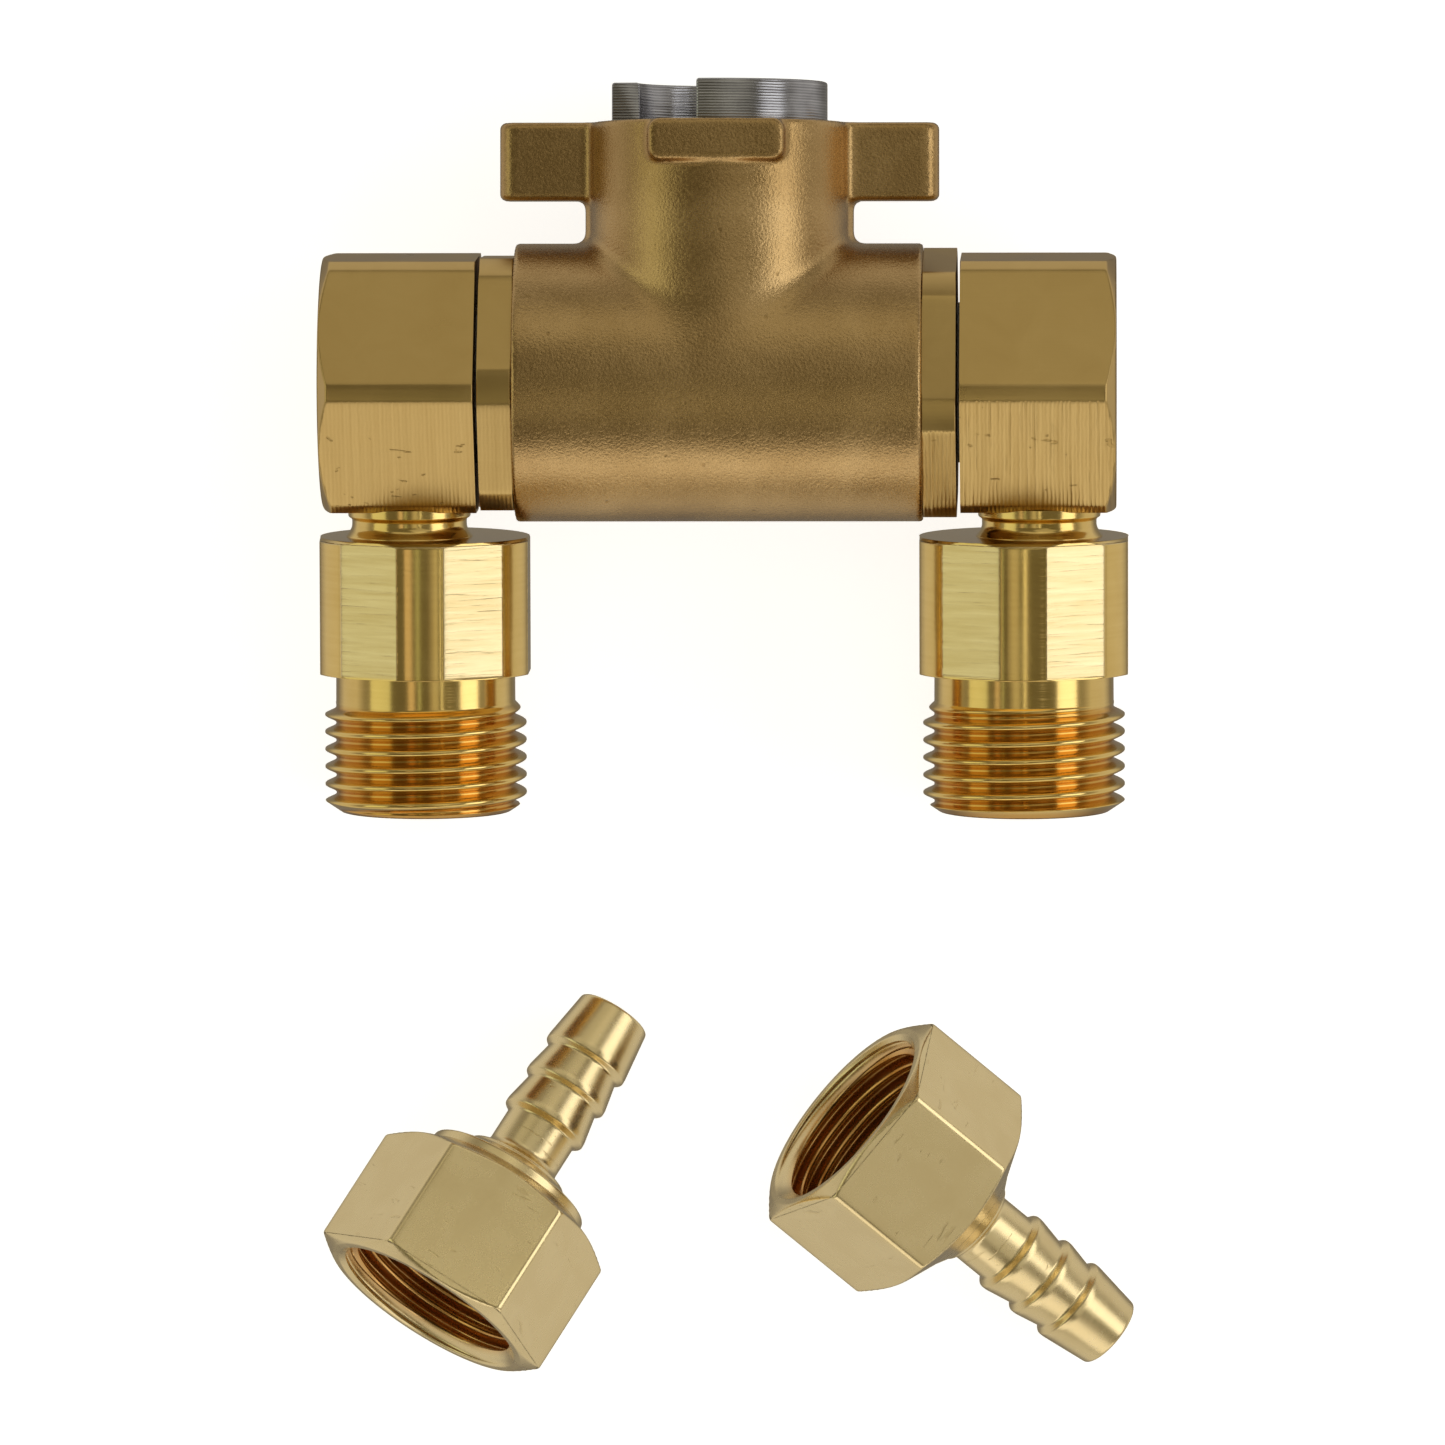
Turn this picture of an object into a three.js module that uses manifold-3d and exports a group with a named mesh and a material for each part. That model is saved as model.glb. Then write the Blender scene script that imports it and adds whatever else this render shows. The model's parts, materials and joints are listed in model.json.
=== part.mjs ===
// A brass two-way hose splitter and its two loose hose tails, lying on a surface.
// Millimetres, +Z up. The inlet points along +Y, the outlets point along -Y and dip a
// little, because the splitter rests on its elbow blocks and on its outlet threads.

import * as THREE from "three";
import { mergeVertices } from "three/addons/utils/BufferGeometryUtils.js";
import Module from "manifold-3d";

const wasm = await Module();
wasm.setup();

const deg = THREE.MathUtils.degToRad;

// ---- Driving dimensions ----------------------------------------------------------

const SEAT = 0.1; // gap left between two pieces that touch face to face
const PAST = 1; // how far a cutter runs past the face it cuts, or a piece into its union
const ROUND = 40; // facets round a large turned piece
const FINE = 28; // facets round a small turned piece

// Standard half-inch pipe thread, used on the outlets and in the hose tails.
// A ridge's flank and crest are shares of its pitch; the rest is the land in the root.
const THREAD = { major: 20.955 / 2, root: 18.631 / 2, pitch: 1.814, flank: 0.39, crest: 0.2 };

// Tee casting, with the cross axis along X through its origin.
const TEE = {
  halfLength: 21.1,
  barrelRadius: 14.4,
  neckRadius: 13.4,
  rimY: 26.9,
  waterwayRadius: 5.5,
  socketRadius: 10.3,
  socketFloor: 8.5,
  inletRadius: 8.0,
  inletSocketRadius: 11.4,
  inletShoulderY: 10.4,
};
const EAR = { reach: 22.75, height: 8.1, thickness: 4.2, edge: 1.3 };
const PAD = { halfWidth: 7.0, height: 4.3, front: 13.95, edge: 1.0 };
const WEB = { halfThickness: 1.1, proud: 0.45, bottomY: 0.5, topY: 26.4 };

// Slotted steel ring in the inlet, and the flat gasket it clamps.
const CLAW = { outer: 11.2, bore: 8.3, floorY: 13.0, slotY: 26.2, topY: 31.1 };
const CLAW_JAW = deg(101);
const CLAW_TURN = deg(39.65);
const INLET_GASKET = { outer: 11.1, bore: 8.1, floorY: 10.5, topY: 12.8 };

// Hex bush: a hexagonal collar, a shank in the tee and a hollow spindle in the block.
const HEX_ACROSS_FLATS = 26.1;
const HEX_CORNER = 14.6;
const BUSH = {
  collarStart: TEE.halfLength + SEAT,
  collarEnd: 24.6,
  collarCorner: 14.15,
  shankRadius: 10.0,
  shankStart: 10.4,
  spindleRadius: 6.3,
  spindleEnd: 39.2,
  boreRadius: 3.9,
  boreEnd: 36.4,
  portRadius: 2.2,
};
// How far each bush was left turned when it was tightened, in degrees about +X.
const BUSH_TURN = { left: 3.2, right: 15.3 };
const BUSH_GASKET = { outer: 9.9, bore: 8.2, end: 10.3, start: 8.8 };

// Grooves on a spindle, as distances from the cross axis or from the leg's own axis.
const GROOVE_ROOT = 5.0;
const RING_CLEARANCE = 0.12; // between a groove's root and the ring in it
const SWIVEL_GROOVES = [
  { from: 26.5, to: 28.0 },
  { from: 28.5, to: 30.0 },
];
const SWIVEL_CLIP_GROOVE = { from: 37.2, to: 38.3 };
const RING_SECTION = 0.62; // radius of an O-ring's round section
const CLIP_SECTION = 0.42; // radius of a snap ring's round section

// Elbow block: hexagonal bar with a blind pocket for the spindle and a bore for the leg.
const BLOCK = {
  start: 25.0,
  end: 41.1,
  pocketRadius: 6.6,
  pocketEnd: 39.7,
  washerRecessRadius: 8.6,
  washerRecessEnd: 25.7,
  galleryRadius: 8.0,
  galleryStart: 30.4,
  galleryEnd: 34.9,
  legBoreRadius: 6.5,
  spotFaceRadius: 7.3,
  spotFaceDepth: 0.5,
  endChamfer: { along: 1.3, deep: 2.2 },
  innerChamfer: { along: 0.3, deep: 0.5 },
};
// Distance of each leg's axis from the middle; the two blocks are not bored quite alike.
const LEG_X = { left: 32.25, right: 33.1 };
const WEAR_WASHER = { outer: 8.3, bore: 6.6, start: 24.7, end: 25.6 };

// Outlet spigot, measured down the leg from the cross axis. Its hexagon and thread are
// turned off the neck's axis, towards the middle of the splitter.
const SPIGOT = {
  offset: 1.6,
  neckRadius: 6.2,
  top: 8.5,
  hexTop: 15.9,
  hexEnd: 30.1,
  collarEnd: 33.1,
  end: 44.6,
  acrossFlats: 21.6,
  corner: 11.35,
  boreRadius: 7.2,
  boreFloor: 17.6,
  passageRadius: 3.6,
  topChamfer: { along: 0.4, deep: 0.45 },
  endChamfer: { along: 1.2, deep: 0.6 },
};
const SPIGOT_GROOVE = { from: 9.1, to: 10.6 };
const SPIGOT_CLIP_GROOVE = { from: 11.3, to: 12.4 };

// Hose tail, measured along its axis from the mouth.
const TAIL = {
  length: 37.4,
  faceChamfer: 0.95,
  hexEnd: 13.3,
  acrossFlats: 23.2,
  corner: 13.0,
  faceRadius: 11.4,
  contactBehindHex: 0.72,
  socketEnd: 9.8,
  passageRadius: 2.6,
  stemRadius: 3.95,
  crest: 4.65,
  rootRadius: 4.1,
  tipRadius: 3.95,
  barbs: [23.3, 27.5, 31.5],
  barbRise: 0.45,
  barbLand: 0.7,
  mouthRadius: 10.68,
  mouthChamfer: 1.0,
  threadRunOut: 1.2,
};
// Behind the hexagon: how far its flats run on, then [distance, radius] down to the stem.
const SHOULDERS = {
  stepped: { flats: 2.0, profile: [[2.0, 9.1], [3.1, 9.0], [4.4, 5.8], [4.9, 4.9], [5.4, 3.95]] },
  plain: { flats: 2.4, profile: [[3.2, 7.2], [5.0, 4.35], [5.4, 3.95]] },
};
const TAIL_WASHER = { outer: 9.0, bore: 4.2, start: 8.0, end: 9.7 };
// Where each tail lies: the mouth's centre from the cross axis, and the heading of its
// barb, in degrees from +X.
const TAILS = {
  left: { x: -30.37, y: -95.85, heading: 57.7, shoulder: SHOULDERS.stepped },
  right: { x: 12.98, y: -76.03, heading: -39.9, shoulder: SHOULDERS.plain },
};

// ---- Materials -------------------------------------------------------------------

const MATERIALS = {
  castBrass: [0x93703f, 0.5, 1],
  milledBrass: [0xb08f52, 0.35, 1],
  turnedBrass: [0xd0a44c, 0.22, 1],
  paleBrass: [0xbfa066, 0.33, 1],
  steel: [0x9aa0a6, 0.35, 1],
  rubber: [0x1c1c1d, 0.85, 0],
  nylon: [0xe8e6df, 0.5, 0],
};

function material(name) {
  const [color, roughness, metalness] = MATERIALS[name];
  return new THREE.MeshStandardMaterial({ color, roughness, metalness });
}

// ---- Solids ----------------------------------------------------------------------

// A closed three.js geometry as a manifold-3d solid.
function solid(geometry) {
  const bare = geometry.index ? geometry.toNonIndexed() : geometry.clone();
  bare.deleteAttribute("normal");
  bare.deleteAttribute("uv");
  const merged = mergeVertices(bare, 1e-4);
  return new wasm.Manifold(
    new wasm.Mesh({
      numProp: 3,
      vertProperties: merged.attributes.position.array,
      triVerts: new Uint32Array(merged.index.array),
    }),
  );
}

// A manifold-3d solid as a three.js geometry.
function geometryOf(body) {
  const { vertProperties, triVerts } = body.getMesh();
  const geometry = new THREE.BufferGeometry();
  geometry.setAttribute("position", new THREE.BufferAttribute(vertProperties, 3));
  geometry.setIndex(new THREE.BufferAttribute(triVerts, 1));
  return geometry;
}

// A solid of revolution about X, from [x, radius] points that close on themselves.
function turned(points, facets = ROUND) {
  const profile = points.map(([x, r]) => new THREE.Vector2(r, x));
  if (points[0][1] > 0 || points.at(-1)[1] > 0) profile.push(profile[0].clone());
  const area = profile.reduce((sum, p, i) => {
    const q = profile[(i + 1) % profile.length];
    return sum + p.x * q.y - q.x * p.y;
  }, 0);
  if (area < 0) profile.reverse();
  const lathe = new THREE.LatheGeometry(profile, facets);
  return solid(lathe.rotateZ(-Math.PI / 2));
}

// A plain round bar along X.
function bar(from, to, radius, facets = ROUND) {
  const cylinder = new THREE.CylinderGeometry(radius, radius, to - from, facets);
  return solid(cylinder.rotateZ(-Math.PI / 2).translate((from + to) / 2, 0, 0));
}

// A ring of round section about X.
function roundRing(x, radius, section) {
  const torus = new THREE.TorusGeometry(radius, section, 6, 20);
  return solid(torus.rotateY(Math.PI / 2).translate(x, 0, 0));
}

// A flat ring about X.
function flatRing(from, to, bore, outer, facets = ROUND) {
  return turned([[from, bore], [from, outer], [to, outer], [to, bore]], facets);
}

// A hexagonal bar along X, with one pair of flats facing along Y.
function hexBar(from, to, acrossFlats) {
  const outline = new THREE.Shape();
  for (let i = 0; i < 6; i += 1) {
    const angle = deg(30 + 60 * i);
    const corner = acrossFlats / Math.sqrt(3);
    const point = [-corner * Math.sin(angle), corner * Math.cos(angle)];
    if (i === 0) outline.moveTo(...point);
    else outline.lineTo(...point);
  }
  const length = to - from;
  const prism = new THREE.ExtrudeGeometry(outline, { depth: length, bevelEnabled: false });
  return solid(prism.rotateY(Math.PI / 2).translate(from, 0, 0));
}

// A rounded slab: an outline of half sizes a by b with round corners, extruded along Z.
function roundedSlab(width, height, depth, radius) {
  const [w, h] = [width / 2 - radius, height / 2 - radius];
  const outline = new THREE.Shape();
  outline.absarc(w, h, radius, 0, Math.PI / 2);
  outline.absarc(-w, h, radius, Math.PI / 2, Math.PI);
  outline.absarc(-w, -h, radius, Math.PI, 1.5 * Math.PI);
  outline.absarc(w, -h, radius, 1.5 * Math.PI, 2 * Math.PI);
  const slab = { depth, bevelEnabled: false, curveSegments: 3 };
  return solid(new THREE.ExtrudeGeometry(outline, slab).translate(0, 0, -depth / 2));
}

// The same solid turned from the X axis onto the Y axis, so that +X becomes +Y or -Y.
const upwards = (body) => body.rotate([0, 0, 90]);
const downwards = (body) => body.rotate([0, 0, -90]);
const mirroredFor = (side, body) => (side === "left" ? body.mirror([1, 0, 0]) : body);

// ---- Pieces of the splitter's middle ---------------------------------------------

function teeCasting() {
  const barrel = bar(-TEE.halfLength, TEE.halfLength, TEE.barrelRadius);
  const neck = upwards(bar(0, TEE.rimY, TEE.neckRadius));
  const earY = TEE.rimY - EAR.height / 2;
  const ears = roundedSlab(2 * EAR.reach, EAR.height, EAR.thickness, EAR.edge);
  const padY = TEE.rimY - PAD.height / 2;
  const pads = roundedSlab(2 * PAD.halfWidth, PAD.height, 2 * PAD.front, PAD.edge);
  const webWidth = 2 * (TEE.neckRadius + WEB.proud);
  const webHeight = WEB.topY - WEB.bottomY;
  const web = new THREE.BoxGeometry(webWidth, webHeight, 2 * WEB.halfThickness);
  const outside = barrel
    .add(neck)
    .add(ears.translate([0, earY, 0]))
    .add(pads.translate([0, padY, 0]))
    .add(solid(web.translate(0, (WEB.topY + WEB.bottomY) / 2, 0)));
  const endX = TEE.halfLength + PAST;
  return outside
    .subtract(upwards(bar(0, TEE.rimY + PAST, TEE.inletRadius)))
    .subtract(upwards(bar(TEE.inletShoulderY, TEE.rimY + PAST, TEE.inletSocketRadius)))
    .subtract(bar(-endX, endX, TEE.waterwayRadius))
    .subtract(bar(TEE.socketFloor, endX, TEE.socketRadius))
    .subtract(bar(-endX, -TEE.socketFloor, TEE.socketRadius));
}

// Two opposite jaws stand above the ring, each a sector of it.
function clawRing() {
  const ring = upwards(flatRing(CLAW.floorY, CLAW.slotY, CLAW.bore, CLAW.outer));
  const start = (Math.PI - CLAW_JAW) / 2;
  let body = ring;
  for (const side of [0, Math.PI]) {
    const sector = new THREE.Shape();
    sector.absarc(0, 0, CLAW.outer, side + start, side + start + CLAW_JAW);
    sector.absarc(0, 0, CLAW.bore, side + start + CLAW_JAW, side + start, true);
    const height = CLAW.topY - CLAW.slotY + PAST;
    const jaw = new THREE.ExtrudeGeometry(sector, { depth: height, bevelEnabled: false });
    jaw.rotateX(-Math.PI / 2).rotateY(CLAW_TURN).translate(0, CLAW.slotY - PAST, 0);
    body = body.add(solid(jaw));
  }
  return body;
}

function inletGasket() {
  const { outer, bore, floorY, topY } = INLET_GASKET;
  return upwards(flatRing(floorY, topY, bore, outer, FINE));
}

// The collar, shank and spindle of one bush in a single turned profile.
function hexBush(side) {
  const collar = hexBar(BUSH.collarStart, BUSH.collarEnd, HEX_ACROSS_FLATS).intersect(
    bar(BUSH.collarStart, BUSH.collarEnd, BUSH.collarCorner),
  );
  const spindle = BUSH.spindleRadius;
  const grooves = [...SWIVEL_GROOVES, SWIVEL_CLIP_GROOVE].flatMap(({ from, to }) => [
    [from, spindle],
    [from, GROOVE_ROOT],
    [to, GROOVE_ROOT],
    [to, spindle],
  ]);
  const shaft = turned([
    [BUSH.shankStart, BUSH.boreRadius],
    [BUSH.shankStart, BUSH.shankRadius],
    [BUSH.collarStart + PAST, BUSH.shankRadius],
    [BUSH.collarStart + PAST, spindle],
    ...grooves,
    [BUSH.spindleEnd, spindle],
    [BUSH.spindleEnd, 0],
    [BUSH.boreEnd, 0],
    [BUSH.boreEnd, BUSH.boreRadius],
  ], FINE);
  const port = bar(-spindle - PAST, spindle + PAST, BUSH.portRadius, 12);
  const across = upwards(port).translate([LEG_X[side], 0, 0]);
  const along = port.rotate([0, 90, 0]).translate([LEG_X[side], 0, 0]);
  const bore = bar(0, BUSH.boreEnd, BUSH.boreRadius, FINE);
  const body = shaft.add(collar).subtract(bore).subtract(across).subtract(along);
  return mirroredFor(side, body.rotate([BUSH_TURN[side], 0, 0]));
}

function bushGasket(side) {
  const { start, end, bore, outer } = BUSH_GASKET;
  return mirroredFor(side, flatRing(start, end, bore, outer, FINE));
}

function grooveRing(groove, section) {
  const middle = (groove.from + groove.to) / 2;
  return roundRing(middle, GROOVE_ROOT + section + RING_CLEARANCE, section);
}

function wearWasher(side) {
  const { start, end, bore, outer } = WEAR_WASHER;
  return mirroredFor(side, flatRing(start, end, bore, outer, FINE));
}

// ---- Pieces of one leg -----------------------------------------------------------

// The block's outer end has a turned chamfer, and so has its inner end, more lightly.
function elbowBlock(side) {
  const { start, end, endChamfer, innerChamfer } = BLOCK;
  const envelope = turned([
    [start, 0],
    [start, HEX_CORNER - innerChamfer.deep],
    [start + innerChamfer.along, HEX_CORNER],
    [end - endChamfer.along, HEX_CORNER],
    [end, HEX_CORNER - endChamfer.deep],
    [end, 0],
  ]);
  const pocket = bar(start - PAST, BLOCK.pocketEnd, BLOCK.pocketRadius);
  const recess = bar(start - PAST, BLOCK.washerRecessEnd, BLOCK.washerRecessRadius);
  const gallery = bar(BLOCK.galleryStart, BLOCK.galleryEnd, BLOCK.galleryRadius);
  const bottom = HEX_ACROSS_FLATS / 2;
  const legBore = downwards(bar(0, bottom + PAST, BLOCK.legBoreRadius));
  const spotFace = downwards(
    bar(bottom - BLOCK.spotFaceDepth, bottom + PAST, BLOCK.spotFaceRadius),
  );
  const body = hexBar(start, end, HEX_ACROSS_FLATS)
    .intersect(envelope)
    .subtract(pocket)
    .subtract(recess)
    .subtract(gallery)
    .subtract(legBore.translate([LEG_X[side], 0, 0]))
    .subtract(spotFace.translate([LEG_X[side], 0, 0]));
  return mirroredFor(side, body);
}

// Neck with its grooves on the swivel axis, then hexagon, collar and thread beside it.
function outletSpigot(side) {
  const s = SPIGOT;
  const grooves = [SPIGOT_GROOVE, SPIGOT_CLIP_GROOVE].flatMap(({ from, to }) => [
    [from, s.neckRadius],
    [from, GROOVE_ROOT],
    [to, GROOVE_ROOT],
    [to, s.neckRadius],
  ]);
  const neck = turned([
    [s.top, 0],
    [s.top, s.neckRadius],
    ...grooves,
    [s.hexTop + PAST, s.neckRadius],
    [s.hexTop + PAST, 0],
  ], FINE);
  const hexEnvelope = turned([
    [s.hexTop, 0],
    [s.hexTop, s.corner - s.topChamfer.deep],
    [s.hexTop + s.topChamfer.along, s.corner],
    [s.hexEnd, s.corner],
    [s.hexEnd, 0],
  ]);
  const hexagon = hexBar(s.hexTop, s.hexEnd, s.acrossFlats)
    .rotate([30, 0, 0])
    .intersect(hexEnvelope);
  const chamferStart = s.end - s.endChamfer.along;
  const thread = turned([
    [s.hexEnd - PAST, 0],
    [s.hexEnd - PAST, THREAD.root],
    ...threadCrests(s.collarEnd, chamferStart),
    [chamferStart, THREAD.root],
    [s.end, THREAD.root - s.endChamfer.deep],
    [s.end, 0],
  ], FINE);
  const offAxis = hexagon
    .add(thread)
    .subtract(bar(s.boreFloor, s.end + PAST, s.boreRadius, FINE))
    .translate([0, -s.offset, 0]);
  const passage = bar(s.top - PAST, s.boreFloor + PAST, s.passageRadius, FINE);
  const body = neck.add(offAxis).subtract(passage);
  return mirroredFor(side, downwards(body).translate([LEG_X[side], 0, 0]));
}

// Ridges of one pitch each between two distances, rising from the root to the major radius.
function threadCrests(from, to) {
  const { major, root, pitch, flank, crest } = THREAD;
  const count = Math.floor((to - from) / pitch);
  return Array.from({ length: count }, (_, i) => {
    const at = from + i * pitch;
    return [
      [at, root],
      [at + flank * pitch, major],
      [at + (flank + crest) * pitch, major],
      [at + (2 * flank + crest) * pitch, root],
    ];
  }).flat();
}

function legRing(side, groove, section) {
  const body = downwards(grooveRing(groove, section));
  return mirroredFor(side, body.translate([LEG_X[side], 0, 0]));
}

// ---- Hose tails ------------------------------------------------------------------

function hoseTail({ shoulder }) {
  const t = TAIL;
  const barbs = t.barbs.flatMap((at, i) => [
    [at - t.barbRise, i === 0 ? t.stemRadius : t.rootRadius],
    [at, t.crest],
    [at + t.barbLand, t.crest],
  ]);
  const envelope = turned([
    [0, 0],
    [0, t.faceRadius],
    [t.faceChamfer, t.corner],
    [t.hexEnd, t.corner],
    ...shoulder.profile.map(([behind, radius]) => [t.hexEnd + behind, radius]),
    ...barbs,
    [t.length, t.tipRadius],
    [t.length, 0],
  ]);
  const flatsEnd = t.hexEnd + shoulder.flats;
  const flats = hexBar(-PAST, flatsEnd, t.acrossFlats);
  const behind = bar(flatsEnd - SEAT, t.length + PAST, t.acrossFlats / 2);
  const mouth = turned([
    [-PAST, 0],
    [-PAST, t.mouthRadius],
    [0, t.mouthRadius],
    [t.mouthChamfer, THREAD.root],
    ...threadCrests(t.mouthChamfer + SEAT, t.socketEnd - t.threadRunOut),
    [t.socketEnd, THREAD.root],
    [t.socketEnd, 0],
  ], FINE);
  return envelope
    .intersect(flats.add(behind))
    .subtract(mouth)
    .subtract(bar(0, t.length + PAST, t.passageRadius, 20));
}

function tailWasher() {
  const { start, end, bore, outer } = TAIL_WASHER;
  return flatRing(start, end, bore, outer, FINE);
}

// ---- Assembly --------------------------------------------------------------------

function mesh(name, materialName, body) {
  const made = new THREE.Mesh(geometryOf(body), material(materialName));
  made.name = name;
  return made;
}

// The legs dip until the last thread crest is as low as the elbow blocks' corners.
const lastCrest = SPIGOT.end - SPIGOT.endChamfer.along - THREAD.pitch / 2;
const LEG_DIP =
  Math.atan2(lastCrest, THREAD.major) -
  Math.acos(HEX_CORNER / Math.hypot(lastCrest, THREAD.major));

function middle() {
  const group = new THREE.Group();
  group.add(mesh("tee_casting", "castBrass", teeCasting()));
  group.add(mesh("claw_ring", "steel", clawRing()));
  group.add(mesh("inlet_gasket", "rubber", inletGasket()));
  for (const side of ["left", "right"]) {
    const [inner, outer] = SWIVEL_GROOVES.map((groove) =>
      mirroredFor(side, grooveRing(groove, RING_SECTION)),
    );
    const clip = mirroredFor(side, grooveRing(SWIVEL_CLIP_GROOVE, CLIP_SECTION));
    group.add(mesh(`${side}_hex_bush`, "milledBrass", hexBush(side)));
    group.add(mesh(`${side}_bush_gasket`, "rubber", bushGasket(side)));
    group.add(mesh(`${side}_wear_washer`, "nylon", wearWasher(side)));
    group.add(mesh(`${side}_inner_o_ring`, "rubber", inner));
    group.add(mesh(`${side}_outer_o_ring`, "rubber", outer));
    group.add(mesh(`${side}_swivel_clip`, "steel", clip));
  }
  return group;
}

function leg(side) {
  const group = new THREE.Group();
  const ring = legRing(side, SPIGOT_GROOVE, RING_SECTION);
  const clip = legRing(side, SPIGOT_CLIP_GROOVE, CLIP_SECTION);
  group.add(mesh(`${side}_elbow_block`, "milledBrass", elbowBlock(side)));
  group.add(mesh(`${side}_outlet_spigot`, "turnedBrass", outletSpigot(side)));
  group.add(mesh(`${side}_spigot_o_ring`, "rubber", ring));
  group.add(mesh(`${side}_spigot_clip`, "steel", clip));
  group.rotation.x = LEG_DIP;
  return group;
}

// A tail rests on the end of one flat and on the rim of its tip, so its mouth looks up.
function tail(side) {
  const restX = TAIL.hexEnd + TAIL.contactBehindHex;
  const tilt = Math.atan((TAIL.acrossFlats / 2 - TAIL.tipRadius) / (TAIL.length - restX));
  const mouthHeight = TAIL.length * Math.sin(tilt) + TAIL.tipRadius * Math.cos(tilt);
  const { x, y, heading } = TAILS[side];
  const group = new THREE.Group();
  const lying = new THREE.Group();
  lying.add(mesh(`${side}_hose_tail`, "paleBrass", hoseTail(TAILS[side]).rotate([90, 0, 0])));
  lying.add(mesh(`${side}_tail_washer`, "rubber", tailWasher()));
  lying.rotation.y = tilt;
  group.add(lying);
  group.rotation.z = deg(heading);
  group.position.set(x, y, mouthHeight - HEX_CORNER);
  return group;
}

const kit = new THREE.Group();
kit.add(middle(), leg("left"), leg("right"), tail("left"), tail("right"));

// The origin is the middle of the kit's outline, on the surface it lies on.
kit.updateMatrixWorld(true);
const outline = new THREE.Box3().setFromObject(kit, true);
const centre = outline.getCenter(new THREE.Vector3());
kit.position.set(-centre.x, -centre.y, -outline.min.z);

export default kit;
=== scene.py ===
"""Looks of a brass two-way hose splitter and its two loose hose tails.

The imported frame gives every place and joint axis. Each sub-assembly below is a class
that keeps its sizes in millimetres, builds its shells around its own axis and dresses
them. Turned pieces are swept around their local X axis.
"""

from __future__ import annotations

import json
import logging
import math
from collections.abc import Sequence
from dataclasses import dataclass, field
from enum import Enum

import bmesh
import bpy
import numpy as np
from mathutils import Matrix, Vector

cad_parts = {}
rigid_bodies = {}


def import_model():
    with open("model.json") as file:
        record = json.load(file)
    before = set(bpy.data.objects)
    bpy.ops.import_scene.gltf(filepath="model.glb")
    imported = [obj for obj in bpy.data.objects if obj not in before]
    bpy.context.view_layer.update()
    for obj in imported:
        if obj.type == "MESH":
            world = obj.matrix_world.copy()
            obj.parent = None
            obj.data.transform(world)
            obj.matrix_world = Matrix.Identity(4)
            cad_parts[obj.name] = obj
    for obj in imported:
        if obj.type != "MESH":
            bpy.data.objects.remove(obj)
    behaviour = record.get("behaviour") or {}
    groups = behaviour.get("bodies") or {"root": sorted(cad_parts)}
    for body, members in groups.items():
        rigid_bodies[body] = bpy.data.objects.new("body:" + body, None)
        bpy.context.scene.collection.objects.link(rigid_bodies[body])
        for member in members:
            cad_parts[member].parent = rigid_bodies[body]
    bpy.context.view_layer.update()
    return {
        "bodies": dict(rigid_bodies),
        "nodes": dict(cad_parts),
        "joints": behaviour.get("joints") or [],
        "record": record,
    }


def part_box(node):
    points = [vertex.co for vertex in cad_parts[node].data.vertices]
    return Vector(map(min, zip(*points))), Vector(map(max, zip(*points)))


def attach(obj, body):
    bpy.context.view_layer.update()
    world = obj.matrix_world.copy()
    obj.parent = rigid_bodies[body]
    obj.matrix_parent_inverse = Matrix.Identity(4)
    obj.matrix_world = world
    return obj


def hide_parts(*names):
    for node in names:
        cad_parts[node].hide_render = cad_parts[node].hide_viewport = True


LOG = logging.getLogger("hose_splitter")
MM = 0.001
PIPE_MAJOR = 20.955 / 2
PIPE_ROOT = 18.631 / 2
PIPE_PITCH = 1.814
HEX_FLATS = 26.1
HEX_CORNER = 14.6
GROOVE_EDGE = 0.08
THREAD_RUN_IN = 1.3
THREAD_RUN_OUT = 0.6
FLANK_STEEPNESS = 1.2


class Side(Enum):
    """The two ends of the cross axis; the value is the sign of X."""

    LEFT = -1
    RIGHT = 1

    @property
    def word(self) -> str:
        """The side's name as it begins node and body names."""
        return self.name.lower()


class Skin(Enum):
    """How a stretch of a turned profile is cut."""

    ROUND = "round"
    HEXAGON = "hexagon"
    OUTER_THREAD = "outer thread"
    INNER_THREAD = "inner thread"


# ---- Shader helpers ----------------------------------------------------------------


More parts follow.
